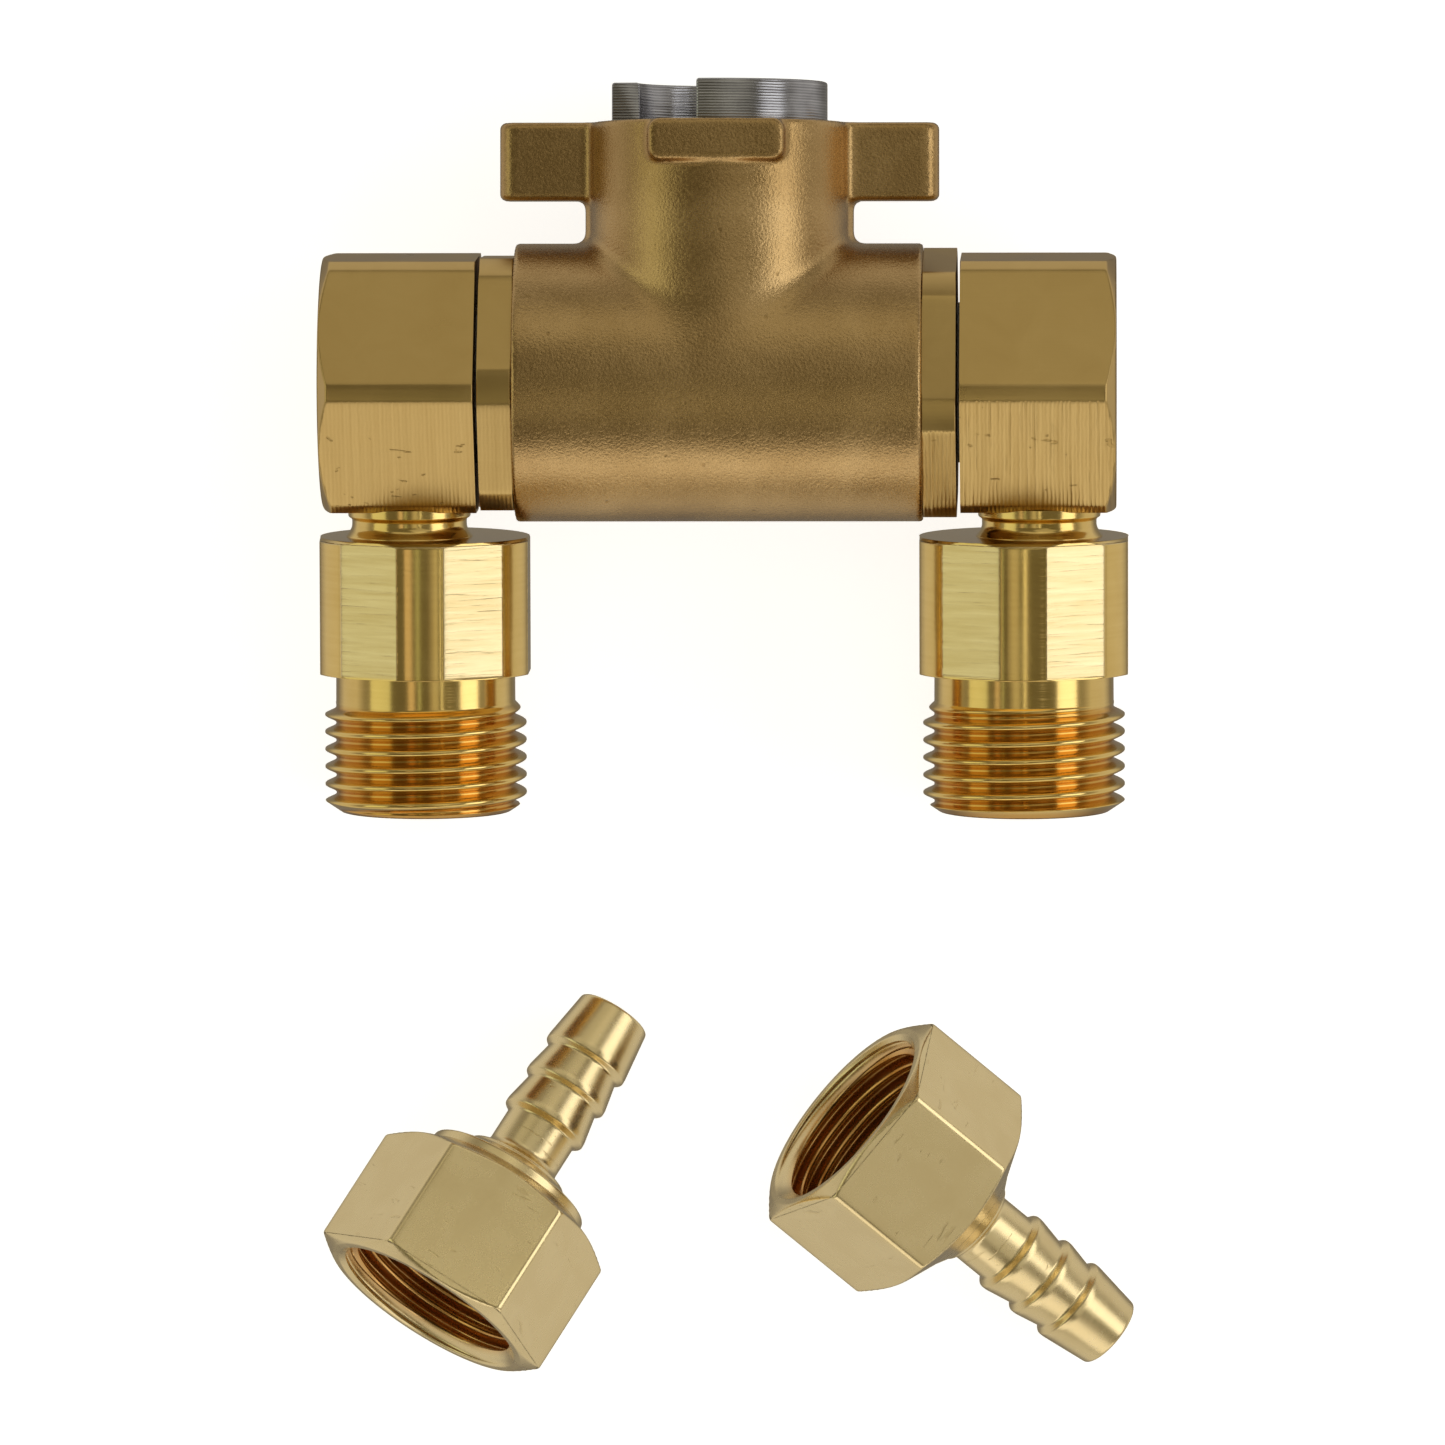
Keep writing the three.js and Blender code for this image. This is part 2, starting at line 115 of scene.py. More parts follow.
class Wire:
    """A shader value that can be used in Python expressions."""

    def __init__(self, graph: Graph, socket: bpy.types.NodeSocket) -> None:
        """Keeps the graph that new Math nodes go into and the socket that is wrapped."""
        self.graph = graph
        self.socket = socket

    def _maths(self, operation: str, *values: Wire | float, clamp: bool = False) -> Wire:
        """Adds one Math node.

        Args:
            operation: The node's operation.
            values: Its inputs in order.
            clamp: Whether the result is kept between 0 and 1.

        Returns:
            The node's output.
        """
        settings = {"operation": operation, "use_clamp": clamp}
        return self.graph.node("ShaderNodeMath", settings, dict(enumerate(values)))

    def __add__(self, other: Wire | float) -> Wire:
        """Sum."""
        return self._maths("ADD", self, other)

    __radd__ = __add__

    def __sub__(self, other: Wire | float) -> Wire:
        """Difference."""
        return self._maths("SUBTRACT", self, other)

    def __rsub__(self, other: float) -> Wire:
        """Difference with the number first."""
        return self._maths("SUBTRACT", other, self)

    def __mul__(self, other: Wire | float) -> Wire:
        """Product."""
        return self._maths("MULTIPLY", self, other)

    __rmul__ = __mul__

    def __pow__(self, other: float) -> Wire:
        """Power."""
        return self._maths("POWER", self, other)

    def clamped(self) -> Wire:
        """The value kept between 0 and 1."""
        return self._maths("ADD", self, 0.0, clamp=True)

    def between(self, low: float, high: float) -> Wire:
        """A soft mask.

        Args:
            low: The value that gives 0.
            high: The value that gives 1; it may be the lower number.

        Returns:
            0 to 1 with eased ends.
        """
        settings = {"interpolation_type": "SMOOTHSTEP"}
        values = {0: self, 1: low, 2: high, 3: 0.0, 4: 1.0}
        if high < low:
            values = {0: self, 1: high, 2: low, 3: 1.0, 4: 0.0}
        return self.graph.node("ShaderNodeMapRange", settings, values)


class Graph:
    """A node tree that is written as expressions."""

    def __init__(self, tree: bpy.types.NodeTree) -> None:
        """Empties the tree."""
        self.tree = tree
        self.tree.nodes.clear()

    def node(
        self,
        kind: str,
        settings: dict[str, object] | None = None,
        values: dict[int | str, object] | None = None,
        output: int | str = 0,
    ) -> Wire:
        """Adds a node.

        Args:
            kind: The node's type.
            settings: Its properties, set before its sockets; "stops" fills a ramp.
            values: Numbers, colours or wires for its input sockets.
            output: Which output is returned.

        Returns:
            That output as a wire.
        """
        made = self.tree.nodes.new(kind)
        for key, value in (settings or {}).items():
            if key == "stops":
                self._fill_ramp(made.color_ramp, value)
            else:
                setattr(made, key, value)
        for key, value in (values or {}).items():
            self.feed(made.inputs[key], value)
        return Wire(self, made.outputs[output])

    @staticmethod
    def _fill_ramp(ramp: bpy.types.ColorRamp, stops: Sequence[tuple]) -> None:
        """Sets a ramp's stops, each a place and a colour."""
        while len(ramp.elements) < len(stops):
            ramp.elements.new(1.0)
        for element, (place, colour) in zip(ramp.elements, stops, strict=True):
            element.position = place
            element.color = (*colour, 1.0)

    def feed(self, socket: bpy.types.NodeSocket, value: object) -> None:
        """Links a wire to a socket, or sets the socket's own number or colour."""
        if isinstance(value, Wire):
            self.tree.links.new(value.socket, socket)
        else:
            socket.default_value = value

    def place(self, kind: str = "Object") -> Wire:
        """A texture coordinate of the piece itself, in metres or as a normal."""
        return self.node("ShaderNodeTexCoord", output=kind)

    def parts(self, vector: Wire) -> tuple[Wire, Wire, Wire]:
        """The three components of a vector."""
        first = self.node("ShaderNodeSeparateXYZ", values={0: vector})
        outputs = first.socket.node.outputs
        return first, Wire(self, outputs[1]), Wire(self, outputs[2])

    def stretched(self, vector: Wire, x: float, y: float, z: float) -> Wire:
        """A vector scaled differently along each axis."""
        settings = {"operation": "MULTIPLY"}
        return self.node("ShaderNodeVectorMath", settings, {0: vector, 1: (x, y, z)})

    def noise(self, vector: Wire, scale: float, detail: float = 2.0, warp: float = 0.0) -> Wire:
        """Fractal noise.

        Args:
            vector: Where it is read.
            scale: Features per metre.
            detail: Octaves.
            warp: Distortion.

        Returns:
            The noise, mostly from 0.3 to 0.7.
        """
        values = {"Vector": vector, "Scale": scale, "Detail": detail, "Distortion": warp}
        return self.node("ShaderNodeTexNoise", values=values)

    def blend(self, mask: Wire, low: object, high: object) -> Wire:
        """Two colours mixed by a mask."""
        settings = {"data_type": "RGBA"}
        return self.node("ShaderNodeMix", settings, {0: mask, 6: low, 7: high}, output=2)


class Skinning(Graph):
    """One material's tree, with its Principled shader."""

    def __init__(self, name: str) -> None:
        """Makes the material with a shader and an output."""
        self.material = bpy.data.materials.new(name)
        self.material.use_nodes = True
        super().__init__(self.material.node_tree)
        self.shader = self.tree.nodes.new("ShaderNodeBsdfPrincipled")
        output = self.tree.nodes.new("ShaderNodeOutputMaterial")
        self.tree.links.new(self.shader.outputs[0], output.inputs[0])

    def dress(self, **values: object) -> None:
        """Feeds the shader's sockets, named with underscores for spaces."""
        for key, value in values.items():
            self.feed(self.shader.inputs[key.replace("_", " ")], value)

    def relief(self, height: Wire, depth: float, strength: float = 1.0) -> None:
        """Feeds the shader's normal from a height that varies by about depth metres."""
        values = {"Height": height, "Distance": depth, "Strength": strength}
        self.dress(Normal=self.node("ShaderNodeBump", values=values))


def rgb(red: float, green: float, blue: float) -> tuple[float, float, float, float]:
    """A linear colour with full alpha."""
    return (red, green, blue, 1.0)


# ---- Finishes ----------------------------------------------------------------------


@dataclass(frozen=True)
class CastBrass:
    """Sand-cast brass: matte, pebbled, darker in patches, with painted shade towards the inlet's
    rim.
    """

    light: tuple = rgb(0.66, 0.445, 0.200)
    dark: tuple = rgb(0.44, 0.280, 0.110)
    grain: float = 3600.0
    # Heights in millimetres up the inlet over which the painted shade on the rim end and ears fades
    # in.
    tarnish_start: float = 17.0
    tarnish_end: float = 20.5

    def build(self) -> bpy.types.Material:
        """Returns the material."""
        g = Skinning("cast_brass_sand_skin")
        here = g.place()
        patches = g.noise(here, 130.0, 4.0, 0.4)
        pebbles = g.noise(here, self.grain, 4.0)
        fine = g.noise(here, self.grain * 2.3, 3.0)
        pits = g.node("ShaderNodeTexVoronoi", {"feature": "F1"}, {"Vector": here, "Scale": 480.0})
        pitted = pits.between(0.15, 0.05) * patches.between(0.46, 0.58)
        _, towards_inlet, _ = g.parts(here)
        # Painted shade: the colour darkens towards the inlet's rim, over the top of the neck, its
        # ears and pads.
        inlet_painted_shade = towards_inlet.between(self.tarnish_start * MM, self.tarnish_end * MM)
        tone = (patches - 0.5) * 1.6 + (pebbles - 0.5) * 1.1 + 0.5 - inlet_painted_shade * 0.35
        g.dress(
            Base_Color=g.blend((tone - pitted * 0.6).clamped(), self.dark, self.light),
            Roughness=0.25 + (pebbles - 0.5) * 0.3 + (patches - 0.5) * 0.16,
            Metallic=1.0,
        )
        g.relief(pebbles + fine * 0.5 - pitted * 0.5, 0.00006, 0.75)
        return g.material


@dataclass(frozen=True)
class BarBrass:
    """Hexagonal brass bar, milled across its length on the sides towards the leg."""

    name: str
    light: tuple = rgb(0.66, 0.462, 0.178)
    dark: tuple = rgb(0.50, 0.333, 0.115)
    marks: float = 1.0

    def build(self) -> bpy.types.Material:
        """Returns the material."""
        g = Skinning(self.name)
        here = g.place()
        _, towards_leg, _ = g.parts(g.place("Normal"))
        milled = towards_leg.between(0.15, 0.45)
        strokes = g.noise(g.stretched(here, 1.0, 0.03, 0.03), 2300.0, 2.0)
        feed = g.node(
            "ShaderNodeTexWave",
            {"wave_type": "BANDS", "bands_direction": "X"},
            {"Vector": here, "Scale": 760.0, "Distortion": 1.6, "Detail": 2.0},
            output=1,
        )
        cuts = (strokes - 0.5) * 1.1 + (feed - 0.5) * 0.30
        drawn = g.noise(g.stretched(here, 0.03, 1.0, 1.0), 3600.0, 2.0)
        clouds = g.noise(here, 190.0, 4.0, 0.6)
        nicks = g.noise(g.stretched(here, 0.45, 1.0, 1.0), 620.0, 2.0, 1.5)
        nicked = nicks.between(0.70, 0.74) * milled
        tone = (clouds - 0.5) * 0.9 + cuts * milled * self.marks + 0.55 - nicked * 0.7
        g.dress(
            Base_Color=g.blend(tone.clamped(), self.dark, self.light),
            Roughness=0.30 + (clouds - 0.5) * 0.12 + milled * 0.04,
            Metallic=1.0,
        )
        height = cuts * milled * self.marks + drawn * 0.12 - nicked * 0.5
        g.relief(height, 0.00008, 0.8)
        return g.material


@dataclass(frozen=True)
class TurnedBrass:
    """Bright brass straight off the lathe, with milled hexagon sides whose paler, bluer colour is a
    painted highlight, and painted shade in its thread roots.
    """

    light: tuple = rgb(0.88, 0.640, 0.235)
    dark: tuple = rgb(0.70, 0.470, 0.130)
    # root: darker orange painted into the thread roots as painted shade.
    root: tuple = rgb(0.66, 0.325, 0.055)
    # hexagon and hexagon_dark: paler, bluer colours on the flats, a painted highlight.
    hexagon: tuple = rgb(0.84, 0.680, 0.380)
    hexagon_dark: tuple = rgb(0.66, 0.500, 0.230)
    thread_start: float = 33.1
    hexagon_start: float = 15.9
    hexagon_end: float = 30.1
    corner: float = 11.335

    def build(self) -> bpy.types.Material:
        """Returns the material."""
        g = Skinning("turned_brass_bright")
        here = g.place()
        along, across, up = g.parts(here)
        rings = g.noise(g.stretched(here, 1.0, 0.02, 0.02), 2600.0, 3.0)
        passes = g.noise(g.stretched(here, 1.0, 0.05, 0.05), 1900.0, 3.0, 0.4)
        clouds = g.noise(here, 240.0, 3.0, 0.5)
        on_hexagon = along.between(self.hexagon_start * MM, (self.hexagon_start + 0.5) * MM)
        before_end = along.between(self.hexagon_end * MM, (self.hexagon_end - 0.4) * MM)
        on_hexagon = on_hexagon * before_end
        radius = (across * across + up * up) ** 0.5
        on_hexagon = on_hexagon * radius.between(self.corner * MM, (self.corner - 0.04) * MM)
        threaded = along.between(self.thread_start * MM, (self.thread_start + 0.8) * MM)
        # Painted shade: thread roots pushed three quarters of the way to the darker root colour.
        root_shade = radius.between((PIPE_MAJOR - 0.25) * MM, PIPE_ROOT * MM) * threaded
        tone = ((clouds - 0.5) * 0.7 + (rings - 0.5) * 0.5 + 0.62).clamped()
        plain = g.blend(tone, self.dark, self.light)
        # Painted highlight: the hexagon flats get paler, bluer colours than the turned surfaces.
        flat_tone = ((passes - 0.5) * 1.6 + (clouds - 0.5) * 0.6 + 0.55).clamped()
        flats = g.blend(flat_tone, self.hexagon_dark, self.hexagon)
        g.dress(
            Base_Color=g.blend(root_shade * 0.75, g.blend(on_hexagon, plain, flats), self.root),
            Roughness=0.16 + on_hexagon * 0.08 + (clouds - 0.5) * 0.08,
            Metallic=1.0,
        )
        g.relief(rings * 0.35 + passes * on_hexagon * 2.2, 0.00007, 0.7)
        return g.material


@dataclass(frozen=True)
class TailBrass:
    """Pale satin brass, faintly blotched, with a few handling scratches and painted shade inside
    its threaded socket.
    """

    light: tuple = rgb(0.94, 0.770, 0.430)
    dark: tuple = rgb(0.76, 0.590, 0.290)
    # root: darker orange painted inside the threaded socket as painted shade.
    root: tuple = rgb(0.78, 0.440, 0.140)

    def build(self) -> bpy.types.Material:
        """Returns the material."""
        g = Skinning("tail_brass_satin")
        here = g.place()
        along, across, up = g.parts(here)
        clouds = g.noise(here, 170.0, 4.0, 0.8)
        specks = g.noise(here, 1500.0, 2.0)
        drawn = g.noise(g.stretched(here, 0.05, 1.0, 1.0), 2600.0, 2.0)
        scratches = g.noise(g.stretched(here, 1.0, 0.16, 0.3), 900.0, 2.0, 1.2)
        scratched = scratches.between(0.655, 0.70) * clouds.between(0.48, 0.56)
        radius = (across * across + up * up) ** 0.5
        # Painted shade: inside the socket, from just past its mouth, the colour turns to the darker
        # root colour.
        inside = radius.between(10.9 * MM, 10.3 * MM) * along.between(10.5 * MM, 9.5 * MM)
        tone = (clouds - 0.5) * 1.1 + (specks - 0.5) * 0.25 + 0.55 - scratched * 0.35
        plain = g.blend(tone.clamped(), self.dark, self.light)
        g.dress(
            Base_Color=g.blend(inside * along.between(0.6 * MM, 1.6 * MM), plain, self.root),
            Roughness=0.27 + (clouds - 0.5) * 0.14 + (specks - 0.5) * 0.08,
            Metallic=1.0,
        )
        g.relief(drawn * 0.16 + specks * 0.14 - scratched * 0.8, 0.00005, 0.5)
        return g.material


@dataclass(frozen=True)
class LatheSteel:
    """Grey steel with fine feed lines around its axis."""

    light: tuple = rgb(0.56, 0.555, 0.57)
    dark: tuple = rgb(0.16, 0.155, 0.165)

    def build(self) -> bpy.types.Material:
        """Returns the material."""
        g = Skinning("lathe_steel_grey")
        here = g.place()
        along, _, _ = g.parts(here)
        feed = g.node(
            "ShaderNodeTexWave",
            {"wave_type": "BANDS", "bands_direction": "X"},
            {"Vector": here, "Scale": 1080.0, "Distortion": 0.6, "Detail": 1.0},
            output=1,
        )
        clouds = g.noise(here, 300.0, 3.0)
        streaks = g.noise(g.stretched(here, 1.0, 0.05, 0.05), 2500.0, 2.0)
        tone = ((clouds - 0.5) * 0.8 + (streaks - 0.5) * 0.8 + feed * 0.4 + 0.3).clamped()
        g.dress(
            Base_Color=g.blend(tone, self.dark, self.light),
            Roughness=0.22 + (clouds - 0.5) * 0.15,
            Metallic=1.0,
        )
        g.relief(feed + streaks * 0.4, 0.00003, 0.8)
        return g.material


@dataclass(frozen=True)
class SealRubber:
    """Black moulded rubber with a dusty bloom."""

    def build(self) -> bpy.types.Material:
        """Returns the material."""
        g = Skinning("seal_rubber_black")
        here = g.place()
        bloom = g.noise(here, 700.0, 3.0)
        g.dress(
            Base_Color=g.blend(bloom, rgb(0.008, 0.008, 0.009), rgb(0.026, 0.025, 0.024)),
            Roughness=0.62 + (bloom - 0.5) * 0.3,
        )
        g.relief(bloom, 0.00002, 0.5)
        return g.material


@dataclass(frozen=True)
class SlipPlastic:
    """White low-friction plastic, cut on a lathe."""

    def build(self) -> bpy.types.Material:
        """Returns the material."""
        g = Skinning("slip_plastic_white")
        here = g.place()
        cut = g.noise(here, 1200.0, 2.0)
        g.dress(
            Base_Color=g.blend(cut, rgb(0.70, 0.69, 0.65), rgb(0.82, 0.81, 0.78)),
            Roughness=0.45 + (cut - 0.5) * 0.2,
        )
        g.relief(cut, 0.00002, 0.4)
        return g.material


# ---- Mesh helpers ------------------------------------------------------------------


def place_at(origin: Vector, x_axis: Vector, y_axis: Vector) -> Matrix:
    """The pose of a piece whose local axes are given in the frame.

    Args:
        origin: The piece's own origin, in metres.
        x_axis: The direction of its turning axis.
        y_axis: A direction across it.

    Returns:
        The matrix from the piece's space to the frame.
    """
    x = x_axis.normalized()
    z = x.cross(y_axis).normalized()
    y = z.cross(x)
    turn = Matrix((x, y, z)).transposed().to_4x4()
    return Matrix.Translation(origin) @ turn


def mesh_object(
    name: str,
    points: np.ndarray,
    faces: Sequence[Sequence[int]] | np.ndarray,
    pose: Matrix,
) -> bpy.types.Object:
    """A smooth-shaded mesh object.

    Args:
        name: The object's name.
        points: Its vertices in millimetres, in its own space.
        faces: Vertex numbers of each face.
        pose: Where it goes.

    Returns:
        The linked object.
    """
    data = bpy.data.meshes.new(name)
    rings = faces.tolist() if isinstance(faces, np.ndarray) else faces
    data.from_pydata((np.asarray(points) * MM).tolist(), [], rings)
    data.update()
    data.shade_smooth()
    made = bpy.data.objects.new(name, data)
    bpy.context.scene.collection.objects.link(made)
    made.matrix_world = pose
    return made


@dataclass(frozen=True)
class Stop:
    """A corner of a turned profile: place along the axis, radius and skin after it."""

    x: float
    r: float
    skin: Skin = Skin.ROUND
    edge: float = 0.12
    step: float = 3.0


@dataclass
class Lathe:
    """Sweeps a profile round the X axis, cutting hexagons and threads into it."""

    stops: list[Stop]
    closed: bool = False
    flats: float = HEX_FLATS
    corner: float = HEX_CORNER
    turn: float = 0.0
    crown: float = 0.12
    thread_from: float = 0.0
    thread_to: float = 0.0
    facets: int = 120

    def angles(self) -> np.ndarray:
        """Angles round the axis, closer together where a hexagon's sides end."""
        half = math.acos(self.flats / 2 / self.corner)
        each = self.facets // 6
        on_flat = (each * 7) // 10
        eased = 0.5 - 0.5 * np.cos(np.linspace(0, np.pi, on_flat + 1))
        flat = -half + 2 * half * eased
        rest = math.pi / 3 - 2 * half
        eased = 0.5 - 0.5 * np.cos(np.linspace(0, np.pi, each - on_flat + 1))
        one = np.concatenate([flat[:-1], (half + rest * eased)[:-1]])
        return np.concatenate([one + i * math.pi / 3 for i in range(6)]) + self.turn

    def stations(self) -> tuple[np.ndarray, np.ndarray, list[Skin]]:
        """The profile with rounded corners and support points.

        Returns:
            Places along the axis, radii, and the skin at each of them.
        """
        count = len(self.stops)
        xs: list[float] = []
        rs: list[float] = []
        skins: list[Skin] = []

        def put(point: np.ndarray, skin: Skin) -> None:
            """Adds a station unless it repeats the last one."""
            if xs and math.hypot(point[0] - xs[-1], point[1] - rs[-1]) < 1e-4:
                return
            xs.append(float(point[0]))
            rs.append(float(point[1]))
            skins.append(skin)

        for i, stop in enumerate(self.stops):
            here = np.array([stop.x, stop.r])
            before = self.stops[i - 1]
            after = self.stops[(i + 1) % count]
            ends = not self.closed and i in (0, count - 1)
            last_skin = before.skin
            if ends:
                put(here, stop.skin if i == 0 else last_skin)
            else:
                back = np.array([before.x, before.r]) - here
                ahead = np.array([after.x, after.r]) - here
                back_length = float(np.hypot(*back))
                ahead_length = float(np.hypot(*ahead))
                cut = min(stop.edge, 0.4 * back_length, 0.4 * ahead_length)
                start = here + back / back_length * cut
                finish = here + ahead / ahead_length * cut
                put(here + back / back_length * min(1.6 * cut, 0.45 * back_length), last_skin)
                for t in (0.0, 0.33, 0.67, 1.0):
                    curve = (1 - t) ** 2 * start + 2 * t * (1 - t) * here + t * t * finish
                    put(curve, last_skin if t < 0.5 else stop.skin)
                put(here + ahead / ahead_length * min(1.6 * cut, 0.45 * ahead_length), stop.skin)
            if i < count - 1 or self.closed:
                start = np.array([xs[-1], rs[-1]])
                finish = np.array([after.x, after.r])
                length = float(np.hypot(*(finish - start)))
                for k in range(1, int(length / stop.step)):
                    put(start + (finish - start) * k * stop.step / length, stop.skin)
        return np.array(xs), np.array(rs), skins

    def hexagon(self, radii: np.ndarray, angles: np.ndarray) -> np.ndarray:
        """Radii cut back to a hexagon with slightly rounded edges."""
        local = np.mod(angles - self.turn + math.pi / 6, math.pi / 3) - math.pi / 6
        side = self.flats / 2 / np.cos(local)
        near = np.clip(self.crown - np.abs(radii - side), 0, None) / self.crown
        return np.minimum(radii, side) - near * near * self.crown / 4

    def thread(self, xs: np.ndarray, angles: np.ndarray) -> np.ndarray:
        """How far a pipe thread rises at each place, 0 in its root and 1 on its crest."""
        turns = (xs - PIPE_PITCH * angles / (2 * math.pi)) / PIPE_PITCH
        wave = np.abs(2 * np.mod(turns, 1.0) - 1)
        rise = np.clip(0.5 + (0.5 - wave) * FLANK_STEEPNESS, 0, 1)
        return rise * rise * (3 - 2 * rise)

    def surface(self) -> tuple[np.ndarray, list[tuple[int, ...]]]:
        """The swept shell.

        Returns:
            Its vertices in millimetres and its faces.
        """
        xs, rs, skins = self.stations()
        angles = self.angles()
        x, theta = np.meshgrid(xs, angles, indexing="ij")
        r = np.repeat(rs[:, None], len(angles), axis=1)
        names = np.array([s.value for s in skins])[:, None]
        r = np.where(names == Skin.HEXAGON.value, self.hexagon(r, theta), r)
        rise = self.thread(x, theta)
        start = np.clip((x - self.thread_from) / THREAD_RUN_IN, 0, 1)
        finish = np.clip((self.thread_to - x) / THREAD_RUN_OUT, 0, 1)
        outer = PIPE_ROOT + (PIPE_MAJOR - PIPE_ROOT) * rise * start
        r = np.where(names == Skin.OUTER_THREAD.value, np.minimum(r, outer), r)
        inner = PIPE_ROOT + (PIPE_MAJOR - PIPE_ROOT) * rise * finish
        r = np.where(names == Skin.INNER_THREAD.value, np.maximum(r, inner), r)
        points = np.stack([x, r * np.cos(theta), r * np.sin(theta)], axis=-1)
        return self._stitch(points, rs)

    def _stitch(
        self, points: np.ndarray, rs: np.ndarray
    ) -> tuple[np.ndarray, list[tuple[int, ...]]]:
        """Joins rings into faces, with a single point where a ring has no radius."""
        rings, around = points.shape[:2]
        vertices: list[np.ndarray] = []
        numbers: list[np.ndarray] = []
        for ring in range(rings):
            base = len(vertices)
            if rs[ring] < 1e-6:
                vertices.append(points[ring, 0])
                numbers.append(np.full(around, base))
            else:
                vertices.extend(points[ring])
                numbers.append(np.arange(base, base + around))
        faces: list[tuple[int, ...]] = []
        for ring in range(rings if self.closed else rings - 1):
            a, b = numbers[ring], numbers[(ring + 1) % rings]
            for i in range(around):
                j = (i + 1) % around
                corners = (int(a[i]), int(a[j]), int(b[j]), int(b[i]))
                faces.append(tuple(dict.fromkeys(corners)))
        return np.array(vertices), faces

    def piece(self, name: str, pose: Matrix) -> bpy.types.Object:
        """The swept shell as an object whose faces point out."""
        points, faces = self.surface()
        made = mesh_object(name, points, faces, pose)
        face_outwards(made)
        return made


def face_outwards(piece: bpy.types.Object) -> None:
    """Turns a closed mesh's faces outwards."""
    work = bmesh.new()
    work.from_mesh(piece.data)
    bmesh.ops.recalc_face_normals(work, faces=work.faces)
    if work.calc_volume(signed=True) < 0:
        bmesh.ops.reverse_faces(work, faces=work.faces)
    work.to_mesh(piece.data)
    work.free()
    piece.data.shade_smooth()


def join(target: bpy.types.Object, other: bpy.types.Object) -> None:
    """Adds another piece's mesh to a target's, in place, and removes the other."""
    work = bmesh.new()
    work.from_mesh(target.data)
    moved = other.data.copy()
    moved.transform(target.matrix_world.inverted() @ other.matrix_world)
    work.from_mesh(moved)
    work.to_mesh(target.data)
    work.free()
    bpy.data.objects.remove(other, do_unlink=True)
    bpy.data.meshes.remove(moved)


def bore_out(piece: bpy.types.Object, cutter: bpy.types.Object) -> None:
    """Cuts one closed mesh out of another and removes the cutter."""
    cut = piece.modifiers.new("bore", "BOOLEAN")
    cut.operation = "DIFFERENCE"
    cut.solver = "EXACT"
    cut.object = cutter
    bpy.context.view_layer.update()
    depsgraph = bpy.context.evaluated_depsgraph_get()
    result = bpy.data.meshes.new_from_object(piece.evaluated_get(depsgraph))
    piece.modifiers.clear()
    piece.data = result
    bpy.data.objects.remove(cutter, do_unlink=True)


# ---- Sub-assemblies ----------------------------------------------------------------


@dataclass
class Bench:
    """Places that every sub-assembly needs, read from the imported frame."""

    frame: dict
    cross: Vector = field(init=False)
    leg_way: Vector = field(init=False)
    joints: dict = field(init=False)

    def __post_init__(self) -> None:
        """Reads the cross axis from the casting's box and the legs' way from a joint."""
        low, high = (Vector(corner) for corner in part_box("tee_casting"))
        reach = (high.z - low.z) / 2
        self.cross = Vector(((low.x + high.x) / 2, low.y + reach, (low.z + high.z) / 2))
        self.joints = {joint["name"]: joint for joint in self.frame["joints"]}
        self.leg_way = Vector(self.joints["left_outlet_spin"]["axis"]).normalized()

    def leg_reach(self, side: Side) -> float:
        """Distance of a leg's axis from the middle of the cross axis, in metres."""
        return abs(self.joints[f"{side.word}_outlet_spin"]["pos_m"][0] - self.cross.x)

    def finish_piece(
        self,
        piece: bpy.types.Object,
        body: str,
        node: str,
        material: bpy.types.Material,
    ) -> None:
        """Dresses a piece and ties it to the frame.

        Args:
            piece: The new object.
            body: The CAD body it rides on.
            node: The CAD node it stands for.
            material: Its finish.
        """
        piece.data.materials.clear()
        piece.data.materials.append(material)
        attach(piece, body)
        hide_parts(node)
        LOG.info("%s: %d faces on %s", piece.name, len(piece.data.polygons), body)


